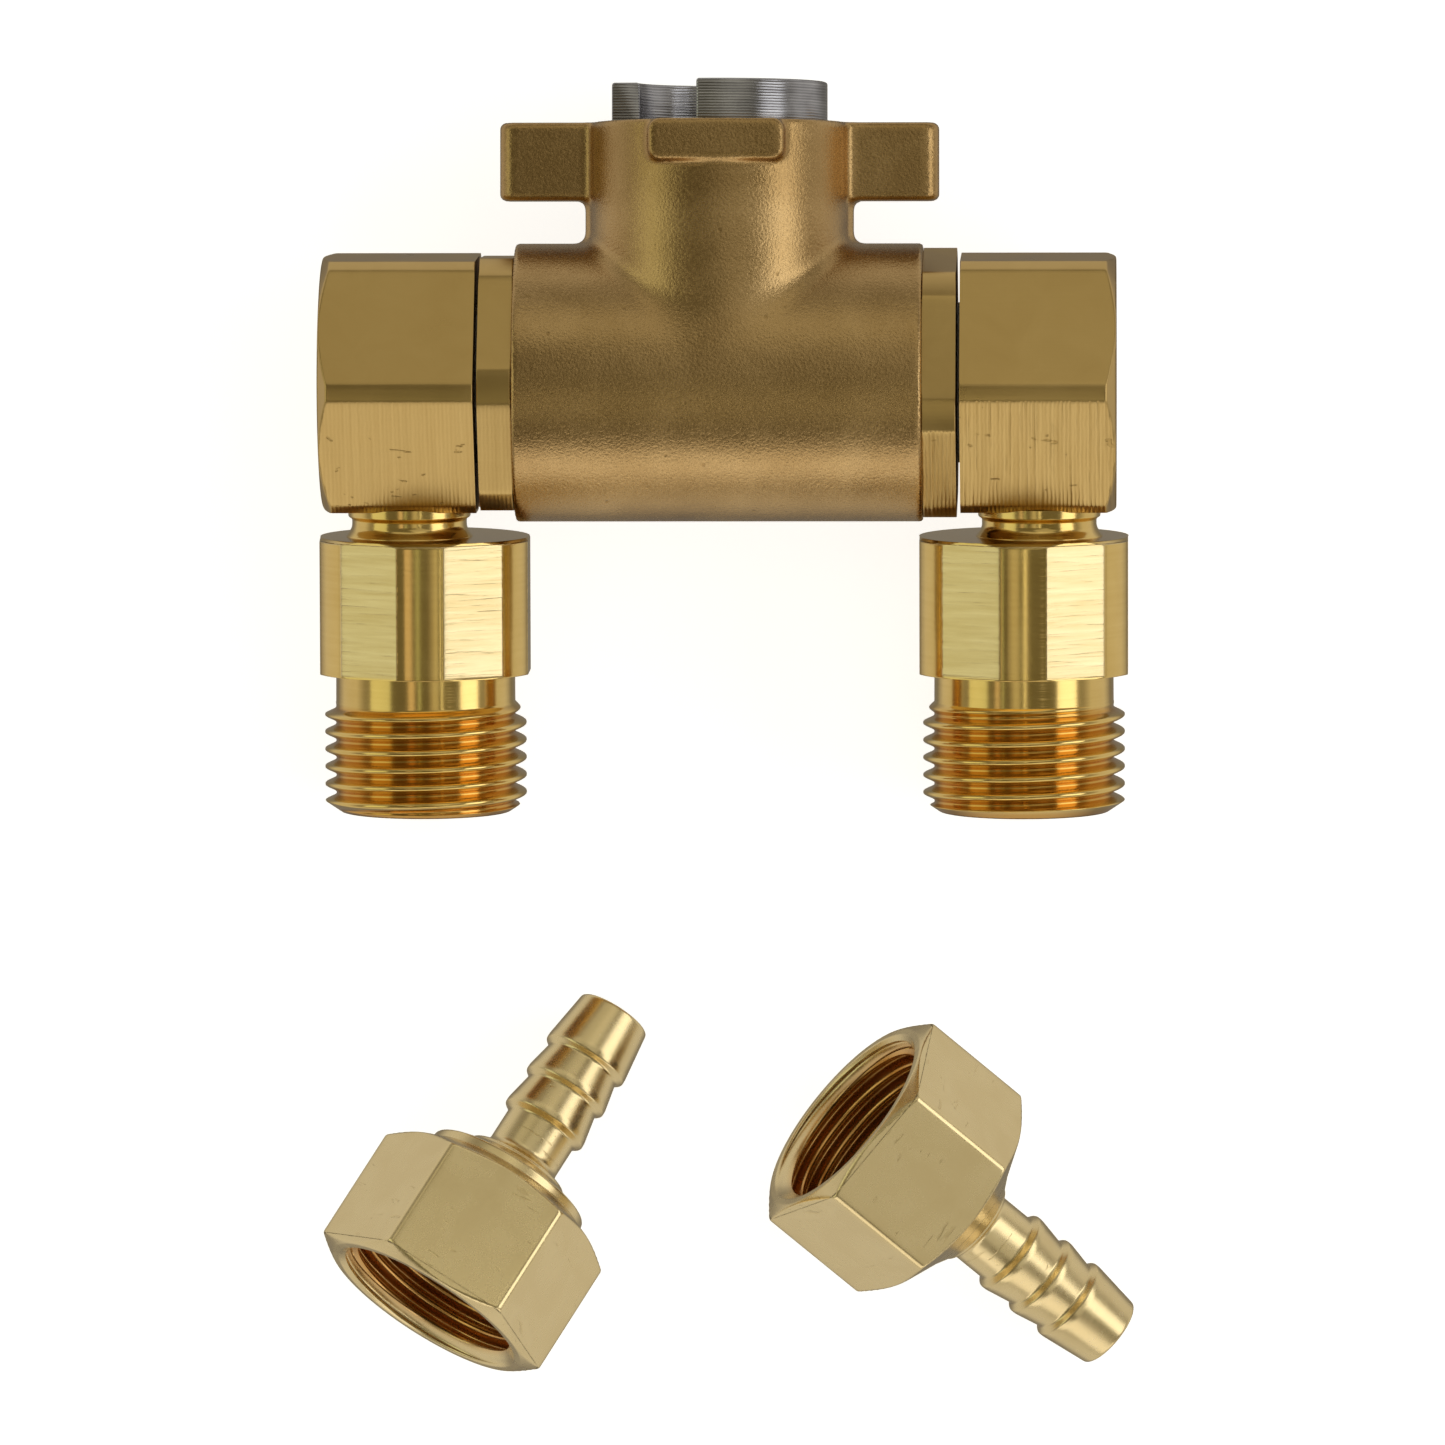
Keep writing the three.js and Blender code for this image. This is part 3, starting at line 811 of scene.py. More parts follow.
@dataclass
class TeeCasting:
    """The cast tee: barrel, neck, ears and pads melted into one skin."""

    half_length: float = 21.1
    barrel: float = 14.4
    neck: float = 13.4
    rim: float = 26.9
    inlet: float = 11.4
    inlet_floor: float = 10.4
    throat: float = 8.0
    socket: float = 10.3
    socket_floor: float = 8.5
    waterway: float = 5.5
    ear_reach: float = 22.75
    ear_height: float = 8.1
    ear_half: float = 2.1
    pad_half: float = 7.0
    pad_height: float = 4.3
    pad_front: float = 13.95
    web_half: float = 1.0
    web_proud: float = 0.45
    web_short: float = 0.4
    web_corner: float = 0.8
    web_edge: float = 0.4
    settle_rounds: int = 4
    saddle: float = 1.3
    rim_edge: float = 0.35
    hollow_edge: float = 0.5
    web_fillet: float = 0.9
    ear_fillet: float = 1.1
    ear_corner: float = 1.7
    ear_edge: float = 0.7
    pad_fillet: float = 0.7
    pad_corner: float = 1.2
    pad_edge: float = 0.6
    cell: float = 0.36

    @staticmethod
    def _rod(
        across: np.ndarray, along: np.ndarray, radius: float, half: float, edge: float
    ) -> np.ndarray:
        """Distance to a rod with rounded rims."""
        side = across - radius + edge
        end = np.abs(along) - half + edge
        outside = np.hypot(np.maximum(side, 0), np.maximum(end, 0))
        return np.minimum(np.maximum(side, end), 0) + outside - edge

    @staticmethod
    def _slab(
        u: np.ndarray,
        v: np.ndarray,
        w: np.ndarray,
        half: Sequence[float],
        corner: float,
        edge: float,
    ) -> np.ndarray:
        """Distance to a slab.

        Args:
            u: Distance across the slab's outline from its middle.
            v: The other distance across its outline.
            w: Distance through its thickness.
            half: Half sizes along u, v and w.
            corner: Radius of the outline's corners.
            edge: Radius of the edges round both faces.

        Returns:
            Negative inside the slab.
        """
        du = np.abs(u) - half[0] + corner
        dv = np.abs(v) - half[1] + corner
        around = np.hypot(np.maximum(du, 0), np.maximum(dv, 0))
        side = np.minimum(np.maximum(du, dv), 0) + around - corner + edge
        end = np.abs(w) - half[2] + edge
        outside = np.hypot(np.maximum(side, 0), np.maximum(end, 0))
        return np.minimum(np.maximum(side, end), 0) + outside - edge

    @staticmethod
    def _melt(a: np.ndarray, b: np.ndarray, fillet: float) -> np.ndarray:
        """Union of two distances with a fillet between them."""
        near = np.clip(fillet - np.abs(a - b), 0, None) / fillet
        return np.minimum(a, b) - near * near * fillet / 4

    def _cut(self, a: np.ndarray, b: np.ndarray, edge: float) -> np.ndarray:
        """Distance a without distance b, with a rounded edge."""
        return -self._melt(-a, b, edge)

    def distance(self, p: np.ndarray) -> np.ndarray:
        """Distance from the casting's skin, in millimetres.

        Args:
            p: Points, with the last axis x, y, z.

        Returns:
            Negative inside the metal.
        """
        x, y, z = p[..., 0], p[..., 1], p[..., 2]
        round_x = np.hypot(y, z)
        round_y = np.hypot(x, z)
        ear_y = y - self.rim + self.ear_height / 2
        pad_y = y - self.rim + self.pad_height / 2
        skin = self._rod(round_x, x, self.barrel, self.half_length, self.rim_edge)
        neck = self._rod(round_y, y - self.rim / 2, self.neck, self.rim / 2, self.rim_edge)
        web_reach = (self.neck + self.web_proud, self.web_half, self.rim / 2 - self.web_short)
        web = self._slab(x, z, y - self.rim / 2, web_reach, self.web_corner, self.web_edge)
        neck = self._melt(neck, web, self.web_fillet)
        skin = self._melt(skin, neck, self.saddle)
        ear_half = (self.ear_reach, self.ear_half, self.ear_height / 2)
        ears = self._slab(x, z, ear_y, ear_half, self.ear_corner, self.ear_edge)
        skin = self._melt(skin, ears, self.ear_fillet)
        pad_half = (self.pad_half, self.pad_height / 2, self.pad_front)
        pads = self._slab(x, pad_y, z, pad_half, self.pad_corner, self.pad_edge)
        skin = self._melt(skin, pads, self.pad_fillet)
        skin = np.maximum(skin, y - self.rim)
        inlet = np.maximum(round_y - self.inlet, self.inlet_floor - y)
        throat = np.maximum(round_y - self.throat, -y)
        socket = np.maximum(round_x - self.socket, self.socket_floor - np.abs(x))
        for hollow in (inlet, throat, socket, round_x - self.waterway):
            skin = self._cut(skin, hollow, self.hollow_edge)
        return skin

    def _grid(self) -> tuple[np.ndarray, np.ndarray, np.ndarray]:
        """Distances on a grid, with its first corner and its size in cells."""
        low = np.array([-self.ear_reach - 1, -self.barrel - 1, -self.barrel - 1])
        high = np.array([self.ear_reach + 1, self.rim + 1, self.barrel + 1])
        size = np.ceil((high - low) / self.cell).astype(int)
        axes = [low[i] + self.cell * np.arange(size[i]) for i in range(3)]
        points = np.stack(np.meshgrid(*axes, indexing="ij"), axis=-1)
        return self.distance(points), low, size

    def skin(self) -> tuple[np.ndarray, np.ndarray]:
        """The casting's skin by surface nets, drawn onto the exact distance.

        Returns:
            Its vertices in millimetres and its quads.
        """
        values, low, size = self._grid()
        inside = values < 0
        corners = [(i, j, k) for i in (0, 1) for j in (0, 1) for k in (0, 1)]
        cells = size - 1

        def at(offset: tuple[int, int, int], source: np.ndarray) -> np.ndarray:
            """The source read at one corner of every cell."""
            i, j, k = offset
            return source[i : i + cells[0], j : j + cells[1], k : k + cells[2]]

        filled = sum(at(c, inside).astype(np.int8) for c in corners)
        mixed = (filled > 0) & (filled < 8)
        number = np.full(mixed.shape, -1)
        number[mixed] = np.arange(int(mixed.sum()))
        total = np.zeros((int(mixed.sum()), 3))
        count = np.zeros(int(mixed.sum()))
        for axis in range(3):
            for c in corners:
                if c[axis]:
                    continue
                d = tuple(1 if i == axis else c[i] for i in range(3))
                a, b = at(c, values)[mixed], at(d, values)[mixed]
                crossing = (a < 0) != (b < 0)
                share = np.where(crossing, a / np.where(crossing, a - b, 1.0), 0.0)
                spot = np.tile(np.array(c, float), (len(a), 1))
                spot[:, axis] += share
                total += spot * crossing[:, None]
                count += crossing
        base = np.stack(np.nonzero(mixed), axis=-1)
        points = low + self.cell * (base + total / count[:, None])
        quads = [self._quads(inside, number, axis) for axis in range(3)]
        return self._settle(points), np.concatenate(quads)

    @staticmethod
    def _quads(inside: np.ndarray, number: np.ndarray, axis: int) -> np.ndarray:
        """The quads that cross the grid's edges along one axis."""
        first = np.moveaxis(inside, axis, 0)
        cells = np.moveaxis(number, axis, 0)
        a = first[:-1, 1:-1, 1:-1]
        b = first[1:, 1:-1, 1:-1]
        spots = np.stack(np.nonzero(a != b), axis=-1)
        i, j, k = spots[:, 0], spots[:, 1], spots[:, 2]
        quad = np.stack(
            [cells[i, j, k], cells[i, j + 1, k], cells[i, j + 1, k + 1], cells[i, j, k + 1]],
            axis=-1,
        )
        outward = a[i, j, k] if axis != 1 else ~a[i, j, k]
        return np.where(outward[:, None], quad, quad[:, ::-1])

    def _settle(self, points: np.ndarray) -> np.ndarray:
        """Moves points along the slope of the distance until they lie on the skin."""
        small = 0.01
        for _ in range(self.settle_rounds):
            here = self.distance(points)
            slope = np.stack(
                [
                    self.distance(points + small * np.eye(3)[i])
                    - self.distance(points - small * np.eye(3)[i])
                    for i in range(3)
                ],
                axis=-1,
            ) / (2 * small)
            steep = np.maximum((slope**2).sum(-1), 0.2)
            move = np.clip(here / steep, -self.cell / 2, self.cell / 2)
            points = points - move[:, None] * slope
        return points

    def build(self, bench: Bench, material: bpy.types.Material) -> None:
        """Builds and dresses the casting."""
        points, quads = self.skin()
        pose = Matrix.Translation(bench.cross)
        piece = mesh_object("cast_tee", points, quads, pose)
        face_outwards(piece)
        bench.finish_piece(piece, "splitter", "tee_casting", material)


@dataclass
class ClawRing:
    """The slotted steel ring in the inlet, with two jaws above the rim."""

    outer: float = 11.2
    bore: float = 8.3
    floor: float = 13.0
    slot: float = 26.2
    top: float = 31.1
    jaw_degrees: float = 101.0
    jaw_centre_degrees: float = 39.65
    gasket_outer: float = 11.1
    gasket_bore: float = 8.1
    gasket_floor: float = 10.5
    gasket_top: float = 12.8
    jaw_edge: float = 0.28
    jaw_sunk: float = 0.4
    jaw_turns: int = 40

    def _pose(self, bench: Bench) -> Matrix:
        """Local X runs up the inlet, local Y towards the front."""
        return place_at(bench.cross, Vector((0, 1, 0)), Vector((0, 0, 1)))

    def _jaw(self, middle: float) -> tuple[np.ndarray, list[tuple[int, ...]]]:
        """One jaw, a sector of the ring with eased edges.

        Args:
            middle: The angle of its middle, in degrees from the front.

        Returns:
            Its vertices in millimetres and its faces.
        """
        edge = self.jaw_edge
        base = self.slot - self.jaw_sunk
        outline = [
            (base, self.bore + 0.01),
            (base, self.outer - 0.01),
            (self.top - edge, self.outer - 0.01),
            (self.top - 0.3 * edge, self.outer - 0.3 * edge),
            (self.top, self.outer - edge),
            (self.top, self.bore + edge),
            (self.top - 0.3 * edge, self.bore + 0.3 * edge),
            (self.top - edge, self.bore + 0.01),
        ]
        half = math.radians(self.jaw_degrees / 2)
        tiny = 0.012
        inner = np.linspace(-half + 2 * tiny, half - 2 * tiny, self.jaw_turns)
        turns = np.concatenate([[-half, -half + tiny], inner, [half - tiny, half]])
        ease = np.concatenate([[0.10, 0.02], np.zeros(self.jaw_turns), [0.02, 0.10]])
        centre = ((self.top + base) / 2, (self.bore + self.outer) / 2)
        points: list[tuple[float, float, float]] = []
        for turn, shrink in zip(turns, ease, strict=True):
            angle = turn + math.radians(middle)
            for x, r in outline:
                sx = x - math.copysign(shrink, x - centre[0])
                sr = r - math.copysign(shrink, r - centre[1])
                points.append((sx, sr * math.cos(angle), sr * math.sin(angle)))
        n = len(outline)
        faces: list[tuple[int, ...]] = [tuple(range(n))]
        for k in range(len(turns) - 1):
            for i in range(n):
                j = (i + 1) % n
                faces.append((k * n + i, (k + 1) * n + i, (k + 1) * n + j, k * n + j))
        last = (len(turns) - 1) * n
        faces.append(tuple(last + i for i in reversed(range(n))))
        return np.array(points), faces

    def build(self, bench: Bench, steel: bpy.types.Material, rubber: bpy.types.Material) -> None:
        """Builds the ring with its jaws, and the gasket under it."""
        pose = self._pose(bench)
        ring = Lathe(
            [
                Stop(self.floor, self.bore),
                Stop(self.floor, self.outer),
                Stop(self.slot, self.outer),
                Stop(self.slot, self.bore),
            ],
            closed=True,
        ).piece("claw_ring_body", pose)
        for middle in (self.jaw_centre_degrees, self.jaw_centre_degrees + 180):
            points, faces = self._jaw(middle)
            jaw = mesh_object("claw_ring_jaw", points, faces, pose)
            face_outwards(jaw)
            jaw.data.set_sharp_from_angle(angle=math.radians(50))
            join(ring, jaw)
        bench.finish_piece(ring, "splitter", "claw_ring", steel)
        gasket = flat_ring(
            "inlet_gasket_ring",
            (self.gasket_floor, self.gasket_top),
            (self.gasket_bore, self.gasket_outer),
            pose,
        )
        bench.finish_piece(gasket, "splitter", "inlet_gasket", rubber)


def flat_ring(
    name: str, span: tuple[float, float], radii: tuple[float, float], pose: Matrix
) -> bpy.types.Object:
    """A flat ring with soft edges.

    Args:
        name: The object's name.
        span: Its two faces along the axis.
        radii: Its bore and its outside.
        pose: Where it goes.

    Returns:
        The object.
    """
    (start, end), (bore, outer) = span, radii
    corners = [(start, bore), (start, outer), (end, outer), (end, bore)]
    stops = [Stop(x, r, edge=0.25) for x, r in corners]
    return Lathe(stops, closed=True, facets=96).piece(name, pose)


def grooved(spans: Sequence[tuple[float, float]], outer: float, root: float) -> list[Stop]:
    """The stops of square grooves.

    Args:
        spans: Where each groove starts and ends along the axis.
        outer: The radius between the grooves.
        root: The radius in them.

    Returns:
        Four stops for each groove.
    """
    return [
        Stop(x, r, edge=GROOVE_EDGE)
        for start, end in spans
        for x, r in ((start, outer), (start, root), (end, root), (end, outer))
    ]


@dataclass
class HexBush:
    """Hexagonal collar, shank in the tee and hollow spindle in the elbow block."""

    side: Side
    start: float = 21.13
    end: float = 24.6
    shank: float = 10.0
    shank_start: float = 10.4
    spindle: float = 6.3
    spindle_end: float = 39.2
    bore: float = 3.9
    bore_end: float = 36.4
    groove: float = 5.0
    grooves: tuple = ((26.5, 28.0), (28.5, 30.0), (37.2, 38.3))
    corner: float = 14.15
    left_turn: float = 3.2
    right_turn: float = 15.3

    def build(self, bench: Bench, material: bpy.types.Material) -> None:
        """Builds and dresses the bush."""
        outward = Vector((self.side.value, 0, 0))
        turn = self.left_turn if self.side is Side.LEFT else self.right_turn
        down = Vector((0, -1, 0))
        down.rotate(Matrix.Rotation(math.radians(turn), 3, "X"))
        stops = [
            Stop(self.bore_end, 0.0),
            Stop(self.bore_end, self.bore),
            Stop(self.shank_start, self.bore),
            Stop(self.shank_start, self.shank, edge=0.4),
            Stop(self.start, self.shank, Skin.HEXAGON),
            Stop(self.start, self.corner, Skin.HEXAGON, edge=0.1, step=0.8),
            Stop(self.end, self.corner, Skin.HEXAGON, edge=0.1, step=0.6),
            Stop(self.end, self.spindle),
            *grooved(self.grooves, self.spindle, self.groove),
            Stop(self.spindle_end, self.spindle, edge=0.4),
            Stop(self.spindle_end, 0.0),
        ]
        name = f"{self.side.word}_bush_turned"
        lathe = Lathe(stops, corner=self.corner)
        piece = lathe.piece(name, place_at(bench.cross, outward, down))
        node = f"{self.side.word}_hex_bush"
        bench.finish_piece(piece, "splitter", node, material)


@dataclass
class ElbowBlock:
    """Hexagonal block with a blind pocket and a spot-faced bore for the leg."""

    side: Side
    start: float = 25.0
    end: float = 41.1
    chamfer: float = 1.0
    chamfer_slope: float = 1.7
    pocket: float = 6.6
    pocket_end: float = 39.7
    recess: float = 8.6
    recess_end: float = 25.7
    leg_bore: float = 6.5
    spot_face: float = 7.3
    spot_depth: float = 0.5
    cutter_past: float = 2.0
    cutter_flare: float = 0.25

    def build(self, bench: Bench, material: bpy.types.Material) -> None:
        """Builds and dresses the block."""
        outward = Vector((self.side.value, 0, 0))
        pose = place_at(bench.cross, outward, bench.leg_way)
        chamfer_depth = self.chamfer_slope * self.chamfer
        stops = [
            Stop(self.pocket_end, 0.0),
            Stop(self.pocket_end, self.pocket),
            Stop(self.recess_end, self.pocket),
            Stop(self.recess_end, self.recess),
            Stop(self.start, self.recess, Skin.HEXAGON),
            Stop(self.start, HEX_CORNER, Skin.HEXAGON, edge=0.1, step=0.9),
            Stop(self.end - self.chamfer, HEX_CORNER, Skin.HEXAGON, edge=0.2, step=0.09),
            Stop(self.end, HEX_CORNER - chamfer_depth, Skin.HEXAGON, edge=0.15, step=0.8),
            Stop(self.end, 0.0),
        ]
        name = f"{self.side.word}_block_milled"
        piece = Lathe(stops, facets=168).piece(name, pose)
        bottom = HEX_FLATS / 2
        cutter_pose = pose @ place_at(
            Vector((bench.leg_reach(self.side), 0, 0)), Vector((0, 1, 0)), Vector((1, 0, 0))
        )
        cutter = Lathe(
            [
                Stop(self.pocket, 0.0),
                Stop(self.pocket, self.leg_bore),
                Stop(bottom - self.spot_depth, self.leg_bore),
                Stop(bottom - self.spot_depth, self.spot_face),
                Stop(bottom + self.cutter_past, self.spot_face + self.cutter_flare),
                Stop(bottom + self.cutter_past, 0.0),
            ],
            facets=96,
        ).piece("leg_bore_cutter", cutter_pose)
        bore_out(piece, cutter)
        piece.data.set_sharp_from_angle(angle=math.radians(40))
        node = f"{self.side.word}_elbow_block"
        body = f"{self.side.word}_elbow"
        bench.finish_piece(piece, body, node, material)


@dataclass
class OutletSpigot:
    """Neck on the leg's own axis; hexagon, collar and thread beside it."""

    side: Side
    offset: float = 1.6
    neck: float = 6.2
    ring: float = 6.35
    throat: float = 5.95
    top: float = 8.5
    hex_top: float = 15.9
    hex_end: float = 30.1
    collar_end: float = 33.1
    end: float = 44.6
    flats: float = 21.6
    corner: float = 11.35
    collar: float = 9.3
    bore: float = 7.2
    bore_floor: float = 17.6
    passage: float = 3.6
    groove: float = 5.0
    grooves: tuple = ((9.1, 10.6), (11.3, 12.4))

    def build(self, bench: Bench, material: bpy.types.Material) -> None:
        """Builds the spigot from its neck and its off-axis body."""
        inward = Vector((-self.side.value, 0, 0))
        reach = self.side.value * bench.leg_reach(self.side)
        origin = bench.cross + Vector((reach, 0, 0))
        pose = place_at(origin, bench.leg_way, inward)
        neck = Lathe(
            [
                Stop(self.top, self.passage),
                Stop(self.top, self.neck, edge=0.4),
                *grooved(self.grooves, self.neck, self.groove),
                Stop(12.75, self.neck, edge=0.05),
                Stop(12.8, self.ring, edge=0.05),
                Stop(13.85, self.ring, edge=0.15),
                Stop(14.1, self.throat, edge=0.15),
                Stop(15.0, self.throat, edge=0.4),
                Stop(self.hex_top + 0.1, self.throat + 0.75, edge=0.2),
                Stop(self.hex_top + 0.1, self.passage),
            ],
            closed=True,
            facets=96,
        ).piece("spigot_neck", pose)
        side_pose = pose @ Matrix.Translation((0, self.offset * MM, 0))
        body = Lathe(
            [
                Stop(self.bore_floor, self.passage),
                Stop(self.hex_top, self.passage),
                Stop(self.hex_top, self.corner - 0.45, Skin.HEXAGON, edge=0.1, step=0.1),
                Stop(self.hex_top + 0.4, self.corner, Skin.HEXAGON, edge=0.1, step=1.2),
                Stop(self.hex_end, self.corner, Skin.HEXAGON, edge=0.14, step=0.5),
                Stop(self.hex_end, self.collar + 0.1, edge=0.06),
                Stop(self.hex_end + 0.12, self.collar, edge=0.1, step=0.8),
                Stop(self.collar_end, PIPE_ROOT, Skin.OUTER_THREAD, edge=0.02, step=0.115),
                Stop(self.collar_end + 0.9, PIPE_MAJOR, Skin.OUTER_THREAD, edge=0.02, step=0.115),
                Stop(self.end - 1.15, PIPE_MAJOR, Skin.OUTER_THREAD, edge=0.1, step=0.1),
                Stop(self.end, PIPE_ROOT - 0.55, edge=0.15),
                Stop(self.end, self.bore, edge=0.3),
                Stop(self.bore_floor, self.bore, edge=0.5),
            ],
            closed=True,
            flats=self.flats,
            corner=self.corner,
            thread_from=self.collar_end,
            thread_to=self.end,
            facets=132,
        ).piece(f"{self.side.word}_spigot_turned", side_pose)
        join(body, neck)
        node = f"{self.side.word}_outlet_spigot"
        ride_on = f"{self.side.word}_outlet"
        bench.finish_piece(body, ride_on, node, material)


@dataclass
class HoseTail:
    """Hexagonal nut with an inner thread and a barbed stem, turned in one piece."""

    side: Side
    length: float = 37.4
    hex_end: float = 13.3
    flats: float = 23.2
    corner: float = 13.25
    face: float = 11.4
    socket_end: float = 9.8
    passage: float = 2.6
    stem: float = 3.95
    crest: float = 4.65
    valley: float = 4.05
    tip: float = 3.95
    barbs: tuple = (23.3, 27.5, 31.5)
    barb_rise: float = 0.5
    barb_land: float = 0.55
    mouth_chamfer: float = 0.95
    at_flat: float = 0.72
    turn_degrees: float = 30.0
    thread_margin: float = 1.0
    washer_outer: float = 9.0
    washer_bore: float = 4.2
    washer_span: tuple = (8.0, 9.7)
    lies: dict = field(
        default_factory=lambda: {
            Side.LEFT: (-30.37, -95.85, 57.7),
            Side.RIGHT: (12.98, -76.03, -39.9),
        }
    )

    def _pose(self, bench: Bench) -> Matrix:
        """The tail's pose: on the end of one flat and on the rim of its tip."""
        x, y, heading = self.lies[self.side]
        rest = self.hex_end + self.at_flat
        tilt = math.atan((self.flats / 2 - self.tip) / (self.length - rest))
        height = self.length * math.sin(tilt) + self.tip * math.cos(tilt)
        origin = Vector((bench.cross.x + x * MM, bench.cross.y + y * MM, height * MM))
        turn = Matrix.Rotation(math.radians(heading), 4, "Z") @ Matrix.Rotation(tilt, 4, "Y")
        return Matrix.Translation(origin) @ turn

    def _shoulder(self) -> list[Stop]:
        """Behind the hexagon: a step on the left tail, a plain cone on the right one."""
        end = self.hex_end
        if self.side is Side.RIGHT:
            return [
                Stop(end + 3.2, 7.2, Skin.HEXAGON, edge=0.3, step=0.6),
                Stop(end + 4.7, 4.9, edge=0.25),
                Stop(end + 5.0, 4.75, edge=0.1),
                Stop(end + 5.35, self.stem, edge=0.3),
            ]
        return [
            Stop(end + 2.0, 9.1, Skin.HEXAGON, edge=0.1),
            Stop(end + 3.0, 9.0, edge=0.2),
            Stop(end + 4.2, 5.9, edge=0.25),
            Stop(end + 4.7, 5.6, edge=0.2),
            Stop(end + 5.1, 4.4, edge=0.25),
            Stop(end + 5.7, self.stem, edge=0.3),
        ]

    def _barbs(self) -> list[Stop]:
        """The three barbs, steep towards the nut and long towards the tip."""
        stops: list[Stop] = []
        for i, at in enumerate(self.barbs):
            foot = self.stem if i == 0 else self.valley
            stops.append(Stop(at - self.barb_rise, foot, edge=0.18))
            stops.append(Stop(at, self.crest, edge=0.12))
            stops.append(Stop(at + self.barb_land, self.crest, edge=0.3))
        return stops

    def build(
        self, bench: Bench, brass: bpy.types.Material, rubber: bpy.types.Material
    ) -> None:
        """Builds the tail and the washer in its socket."""
        pose = self._pose(bench)
        stops = [
            Stop(self.socket_end, self.passage),
            Stop(self.socket_end, PIPE_ROOT, Skin.INNER_THREAD, edge=0.05, step=0.11),
            Stop(1.1, PIPE_ROOT, Skin.INNER_THREAD, edge=0.1, step=0.11),
            Stop(0.0, PIPE_MAJOR + 0.2, edge=0.1),
            Stop(0.0, self.face, Skin.HEXAGON, edge=0.1, step=0.08),
            Stop(self.mouth_chamfer, self.corner, Skin.HEXAGON, edge=0.2, step=0.9),
            Stop(self.hex_end, self.corner, Skin.HEXAGON, edge=0.2, step=0.09),
            *self._shoulder(),
            *self._barbs(),
            Stop(self.length, self.tip, edge=0.25),
            Stop(self.length, self.passage, edge=0.25),
        ]
        name = f"{self.side.word}_tail_turned"
        lathe = Lathe(
            stops,
            closed=True,
            flats=self.flats,
            corner=self.corner,
            turn=math.radians(self.turn_degrees),
            thread_from=0.0,
            thread_to=self.socket_end - self.thread_margin,
            facets=144,
        )
        piece = lathe.piece(name, pose)
        body = f"{self.side.word}_tail"
        bench.finish_piece(piece, body, f"{self.side.word}_hose_tail", brass)
        radii = (self.washer_bore, self.washer_outer)
        washer = flat_ring(f"{self.side.word}_socket_washer", self.washer_span, radii, pose)
        bench.finish_piece(washer, body, f"{self.side.word}_tail_washer", rubber)


@dataclass
class HiddenParts:
    """Seals, washers and clips inside the joints, which keep their CAD shapes."""

    rubber_words: tuple = ("bush_gasket", "inner_o_ring", "outer_o_ring", "spigot_o_ring")
    steel_words: tuple = ("swivel_clip", "spigot_clip")
    plastic_words: tuple = ("wear_washer",)

    def dress(self, bench: Bench, finishes: dict[str, bpy.types.Material]) -> None:
        """Gives each hidden node its finish."""
        groups = {
            "rubber": self.rubber_words,
            "steel": self.steel_words,
            "plastic": self.plastic_words,
        }
        for finish, words in groups.items():
            for side in Side:
                for word in words:
                    node = bench.frame["nodes"][f"{side.word}_{word}"]
                    for slot in node.material_slots:
                        slot.material = finishes[finish]
                    LOG.info("%s dressed", node.name)


# ---- Studio ------------------------------------------------------------------------


@dataclass
class Softbox:
    """A rectangular light aimed at a spot on the sheet.

    The bearing is in degrees round from +X, the height in degrees up, and the aim in
    metres from the middle of the cross axis.
    """

    name: str
    bearing: float
    height: float
    size: tuple[float, float]
    radiance: float
    colour: tuple[float, float, float]
    away: float = 0.6
    aim: tuple[float, float] = (0.0, 0.0)

    def build(self, middle: Vector) -> None:
        """Adds the light."""
        data = bpy.data.lights.new(self.name, "AREA")
        data.shape = "RECTANGLE"
        data.size, data.size_y = self.size
        data.energy = self.radiance * math.pi * self.size[0] * self.size[1]
        data.color = self.colour
        lamp = bpy.data.objects.new(self.name, data)
        lamp.visible_camera = False
        bpy.context.scene.collection.objects.link(lamp)
        turn, lift = math.radians(self.bearing), math.radians(self.height)
        way = Vector((math.cos(turn), math.sin(turn), math.tan(lift))).normalized()
        lamp.location = middle + Vector((*self.aim, 0.0)) + way * self.away
        lamp.rotation_euler = way.to_track_quat("Z", "Y").to_euler()


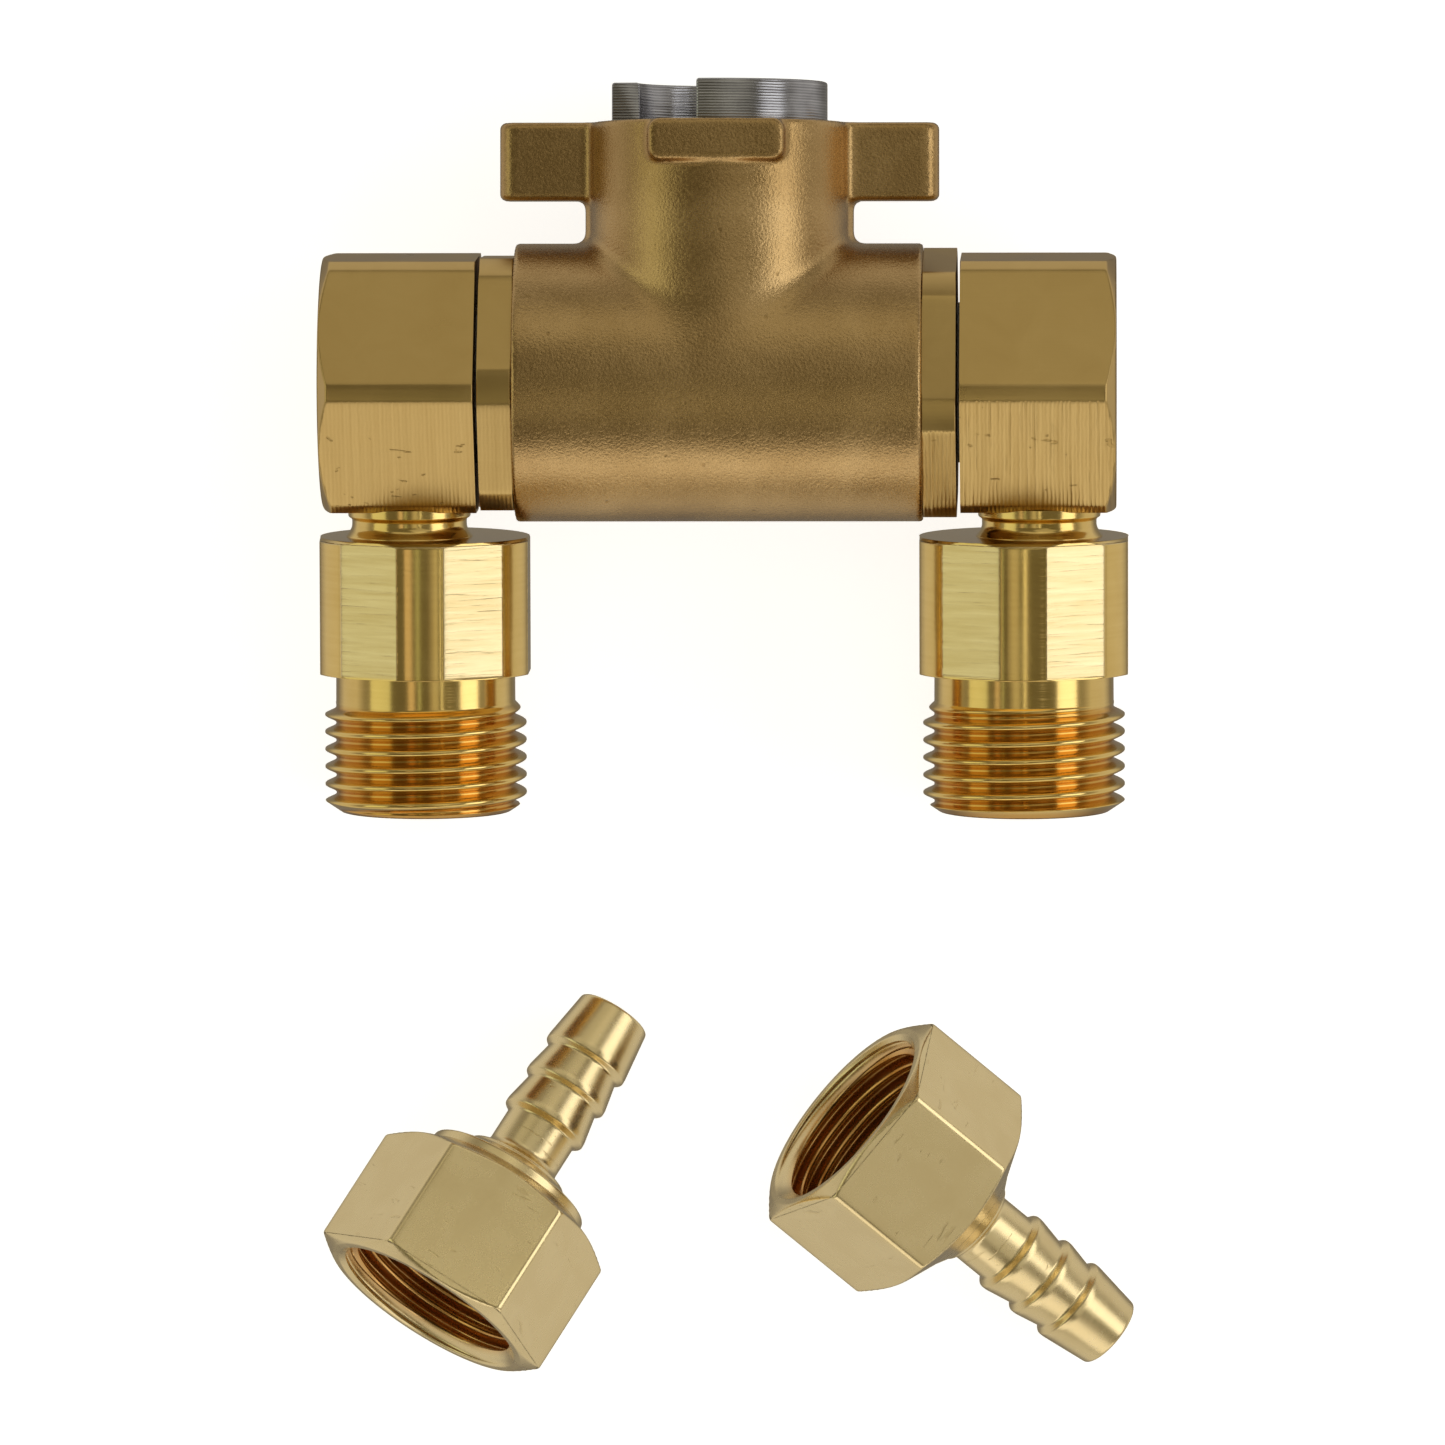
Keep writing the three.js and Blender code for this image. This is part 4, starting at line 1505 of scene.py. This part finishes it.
@dataclass
class Studio:
    """Pale sheet, soft light and a camera looking almost straight down."""

    distance: float = 1.5
    leaning: tuple = (0.030, 0.0)
    middle: tuple = (-0.00022, 0.00055, 0.0130)
    view_width: float = 0.1499
    sheet_half: float = 1.5
    slit_length: float = 0.06
    slit_forward: float = -0.053
    slit_height: float = 0.15
    under: tuple = (0.22, 0.205, 0.18)
    ground: tuple = (0.64, 0.615, 0.57)
    wall: tuple = (0.30, 0.28, 0.24)
    zenith: tuple = (0.155, 0.140, 0.095)

    def camera(self) -> None:
        data = bpy.data.cameras.new("camera")
        data.sensor_width = 36.0
        data.lens = 36.0 * self.distance / self.view_width
        data.clip_start = 0.01
        data.clip_end = 20.0
        camera = bpy.data.objects.new("camera", data)
        bpy.context.scene.collection.objects.link(camera)
        way = Vector((*self.leaning, 1.0)).normalized()
        camera.location = Vector(self.middle) + way * self.distance
        camera.rotation_euler = (-self.leaning[1], self.leaning[0], 0.0)
        bpy.context.scene.camera = camera

    def sheet(self) -> None:
        g = Skinning("pale_sheet")
        g.dress(
            Base_Color=rgb(0.86, 0.86, 0.855),
            Roughness=0.9,
            Emission_Color=rgb(1.0, 1.0, 1.0),
            Emission_Strength=0.80,
        )
        h = self.sheet_half / MM
        corners = np.array([(-h, -h, 0), (h, -h, 0), (h, h, 0), (-h, h, 0)])
        sheet = mesh_object("pale_sheet", corners, [(0, 1, 2, 3)], Matrix.Identity(4))
        sheet.data.materials.append(g.material)
        sheet.visible_glossy = False

    def slit(
        self, name: str, across: float, width: float, radiance: float, colour: tuple
    ) -> Softbox:
        """A narrow light low overhead, mirrored by the outlets' rounded corners.

        Args:
            name: The light's name.
            across: Where it is along X, in metres from the middle of the cross axis.
            width: Its width along X, in metres.
            radiance: How bright it is.
            colour: Its colour.

        Returns:
            The light, still to be built.
        """
        size, aim = (self.slit_length, width), (across, self.slit_forward)
        return Softbox(name, 180.0, 89.9, size, radiance, colour, self.slit_height, aim)

    def light(self, target: Vector) -> None:
        """Adds the softboxes and the narrow lights over the outlets."""
        card, left_tail, right_tail = (0.17, 0.17), (-0.018, -0.080), (0.025, -0.088)
        boxes = [
            Softbox("window_left", 180.0, 30.0, (0.70, 0.30), 0.62, (0.93, 1.0, 0.72)),
            Softbox("lamp_right", 0.0, 30.0, (0.60, 0.28), 1.5, (0.96, 0.97, 1.0)),
            Softbox("card_below", -88.0, 18.0, (0.80, 0.26), 0.88, (1.0, 0.97, 0.95)),
            Softbox("card_above", 90.0, 42.0, (0.70, 0.30), 0.36, (1.0, 0.96, 0.80)),
            self.slit("left_slit", -0.0435, 0.007, 0.60, (0.86, 1.0, 0.66)),
            self.slit("left_tube", -0.0710, 0.022, 0.62, (1.0, 0.80, 0.62)),
            self.slit("left_panel", 0.0030, 0.030, 0.20, (1.0, 0.90, 0.74)),
            self.slit("right_slit", 0.0365, 0.006, 1.50, (1.0, 0.98, 0.80)),
            self.slit("right_panel", 0.0100, 0.024, 0.24, (0.96, 0.96, 0.74)),
            Softbox("card_left_tail", 57.7, 54.0, card, 0.30, (1.0, 0.98, 0.90), 0.3, left_tail),
            Softbox("card_right_tail", -39.9, 54.0, card, 0.36, (1.0, 0.98, 0.92), 0.3, right_tail),
        ]
        for box in boxes:
            box.build(target)

    def surround(self) -> None:
        """Adds a dim surround: warm overhead, pale near the ground and below it."""
        world = bpy.data.worlds.new("studio")
        bpy.context.scene.world = world
        world.use_nodes = True
        g = Graph(world.node_tree)
        way = g.node("ShaderNodeTexCoord", output="Generated")
        up = g.node("ShaderNodeSeparateXYZ", values={0: way}, output=2) * 0.5 + 0.5
        stops = [
            (0.0, self.under),
            (0.08, self.under),
            (0.20, self.ground),
            (0.44, self.ground),
            (0.56, self.wall),
            (0.88, self.zenith),
        ]
        colour = g.node("ShaderNodeValToRGB", {"stops": stops}, {0: up})
        output = g.tree.nodes.new("ShaderNodeOutputWorld")
        background = g.node("ShaderNodeBackground", values={0: colour, 1: 1.0})
        g.feed(output.inputs[0], background)

    def build(self, target: Vector) -> None:
        bpy.context.scene.view_settings.view_transform = "Standard"
        self.camera()
        self.sheet()
        self.light(target)
        self.surround()


def main() -> None:
    logging.basicConfig(level=logging.INFO, format="%(name)s: %(message)s")
    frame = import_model()
    bench = Bench(frame)
    Studio().build(bench.cross.copy())
    cast = CastBrass().build()
    bars = {
        Side.LEFT: BarBrass("bar_brass_lightly_milled", marks=0.7).build(),
        Side.RIGHT: BarBrass("bar_brass_milled", marks=1.6).build(),
    }
    turned, tail = TurnedBrass().build(), TailBrass().build()
    steel, rubber = LatheSteel().build(), SealRubber().build()
    TeeCasting().build(bench, cast)
    ClawRing().build(bench, steel, rubber)
    for side in Side:
        HexBush(side).build(bench, bars[side])
        ElbowBlock(side).build(bench, bars[side])
        OutletSpigot(side).build(bench, turned)
        HoseTail(side).build(bench, tail, rubber)
    finishes = {"rubber": rubber, "steel": steel, "plastic": SlipPlastic().build()}
    HiddenParts().dress(bench, finishes)


if __name__ == "__main__":
    main()
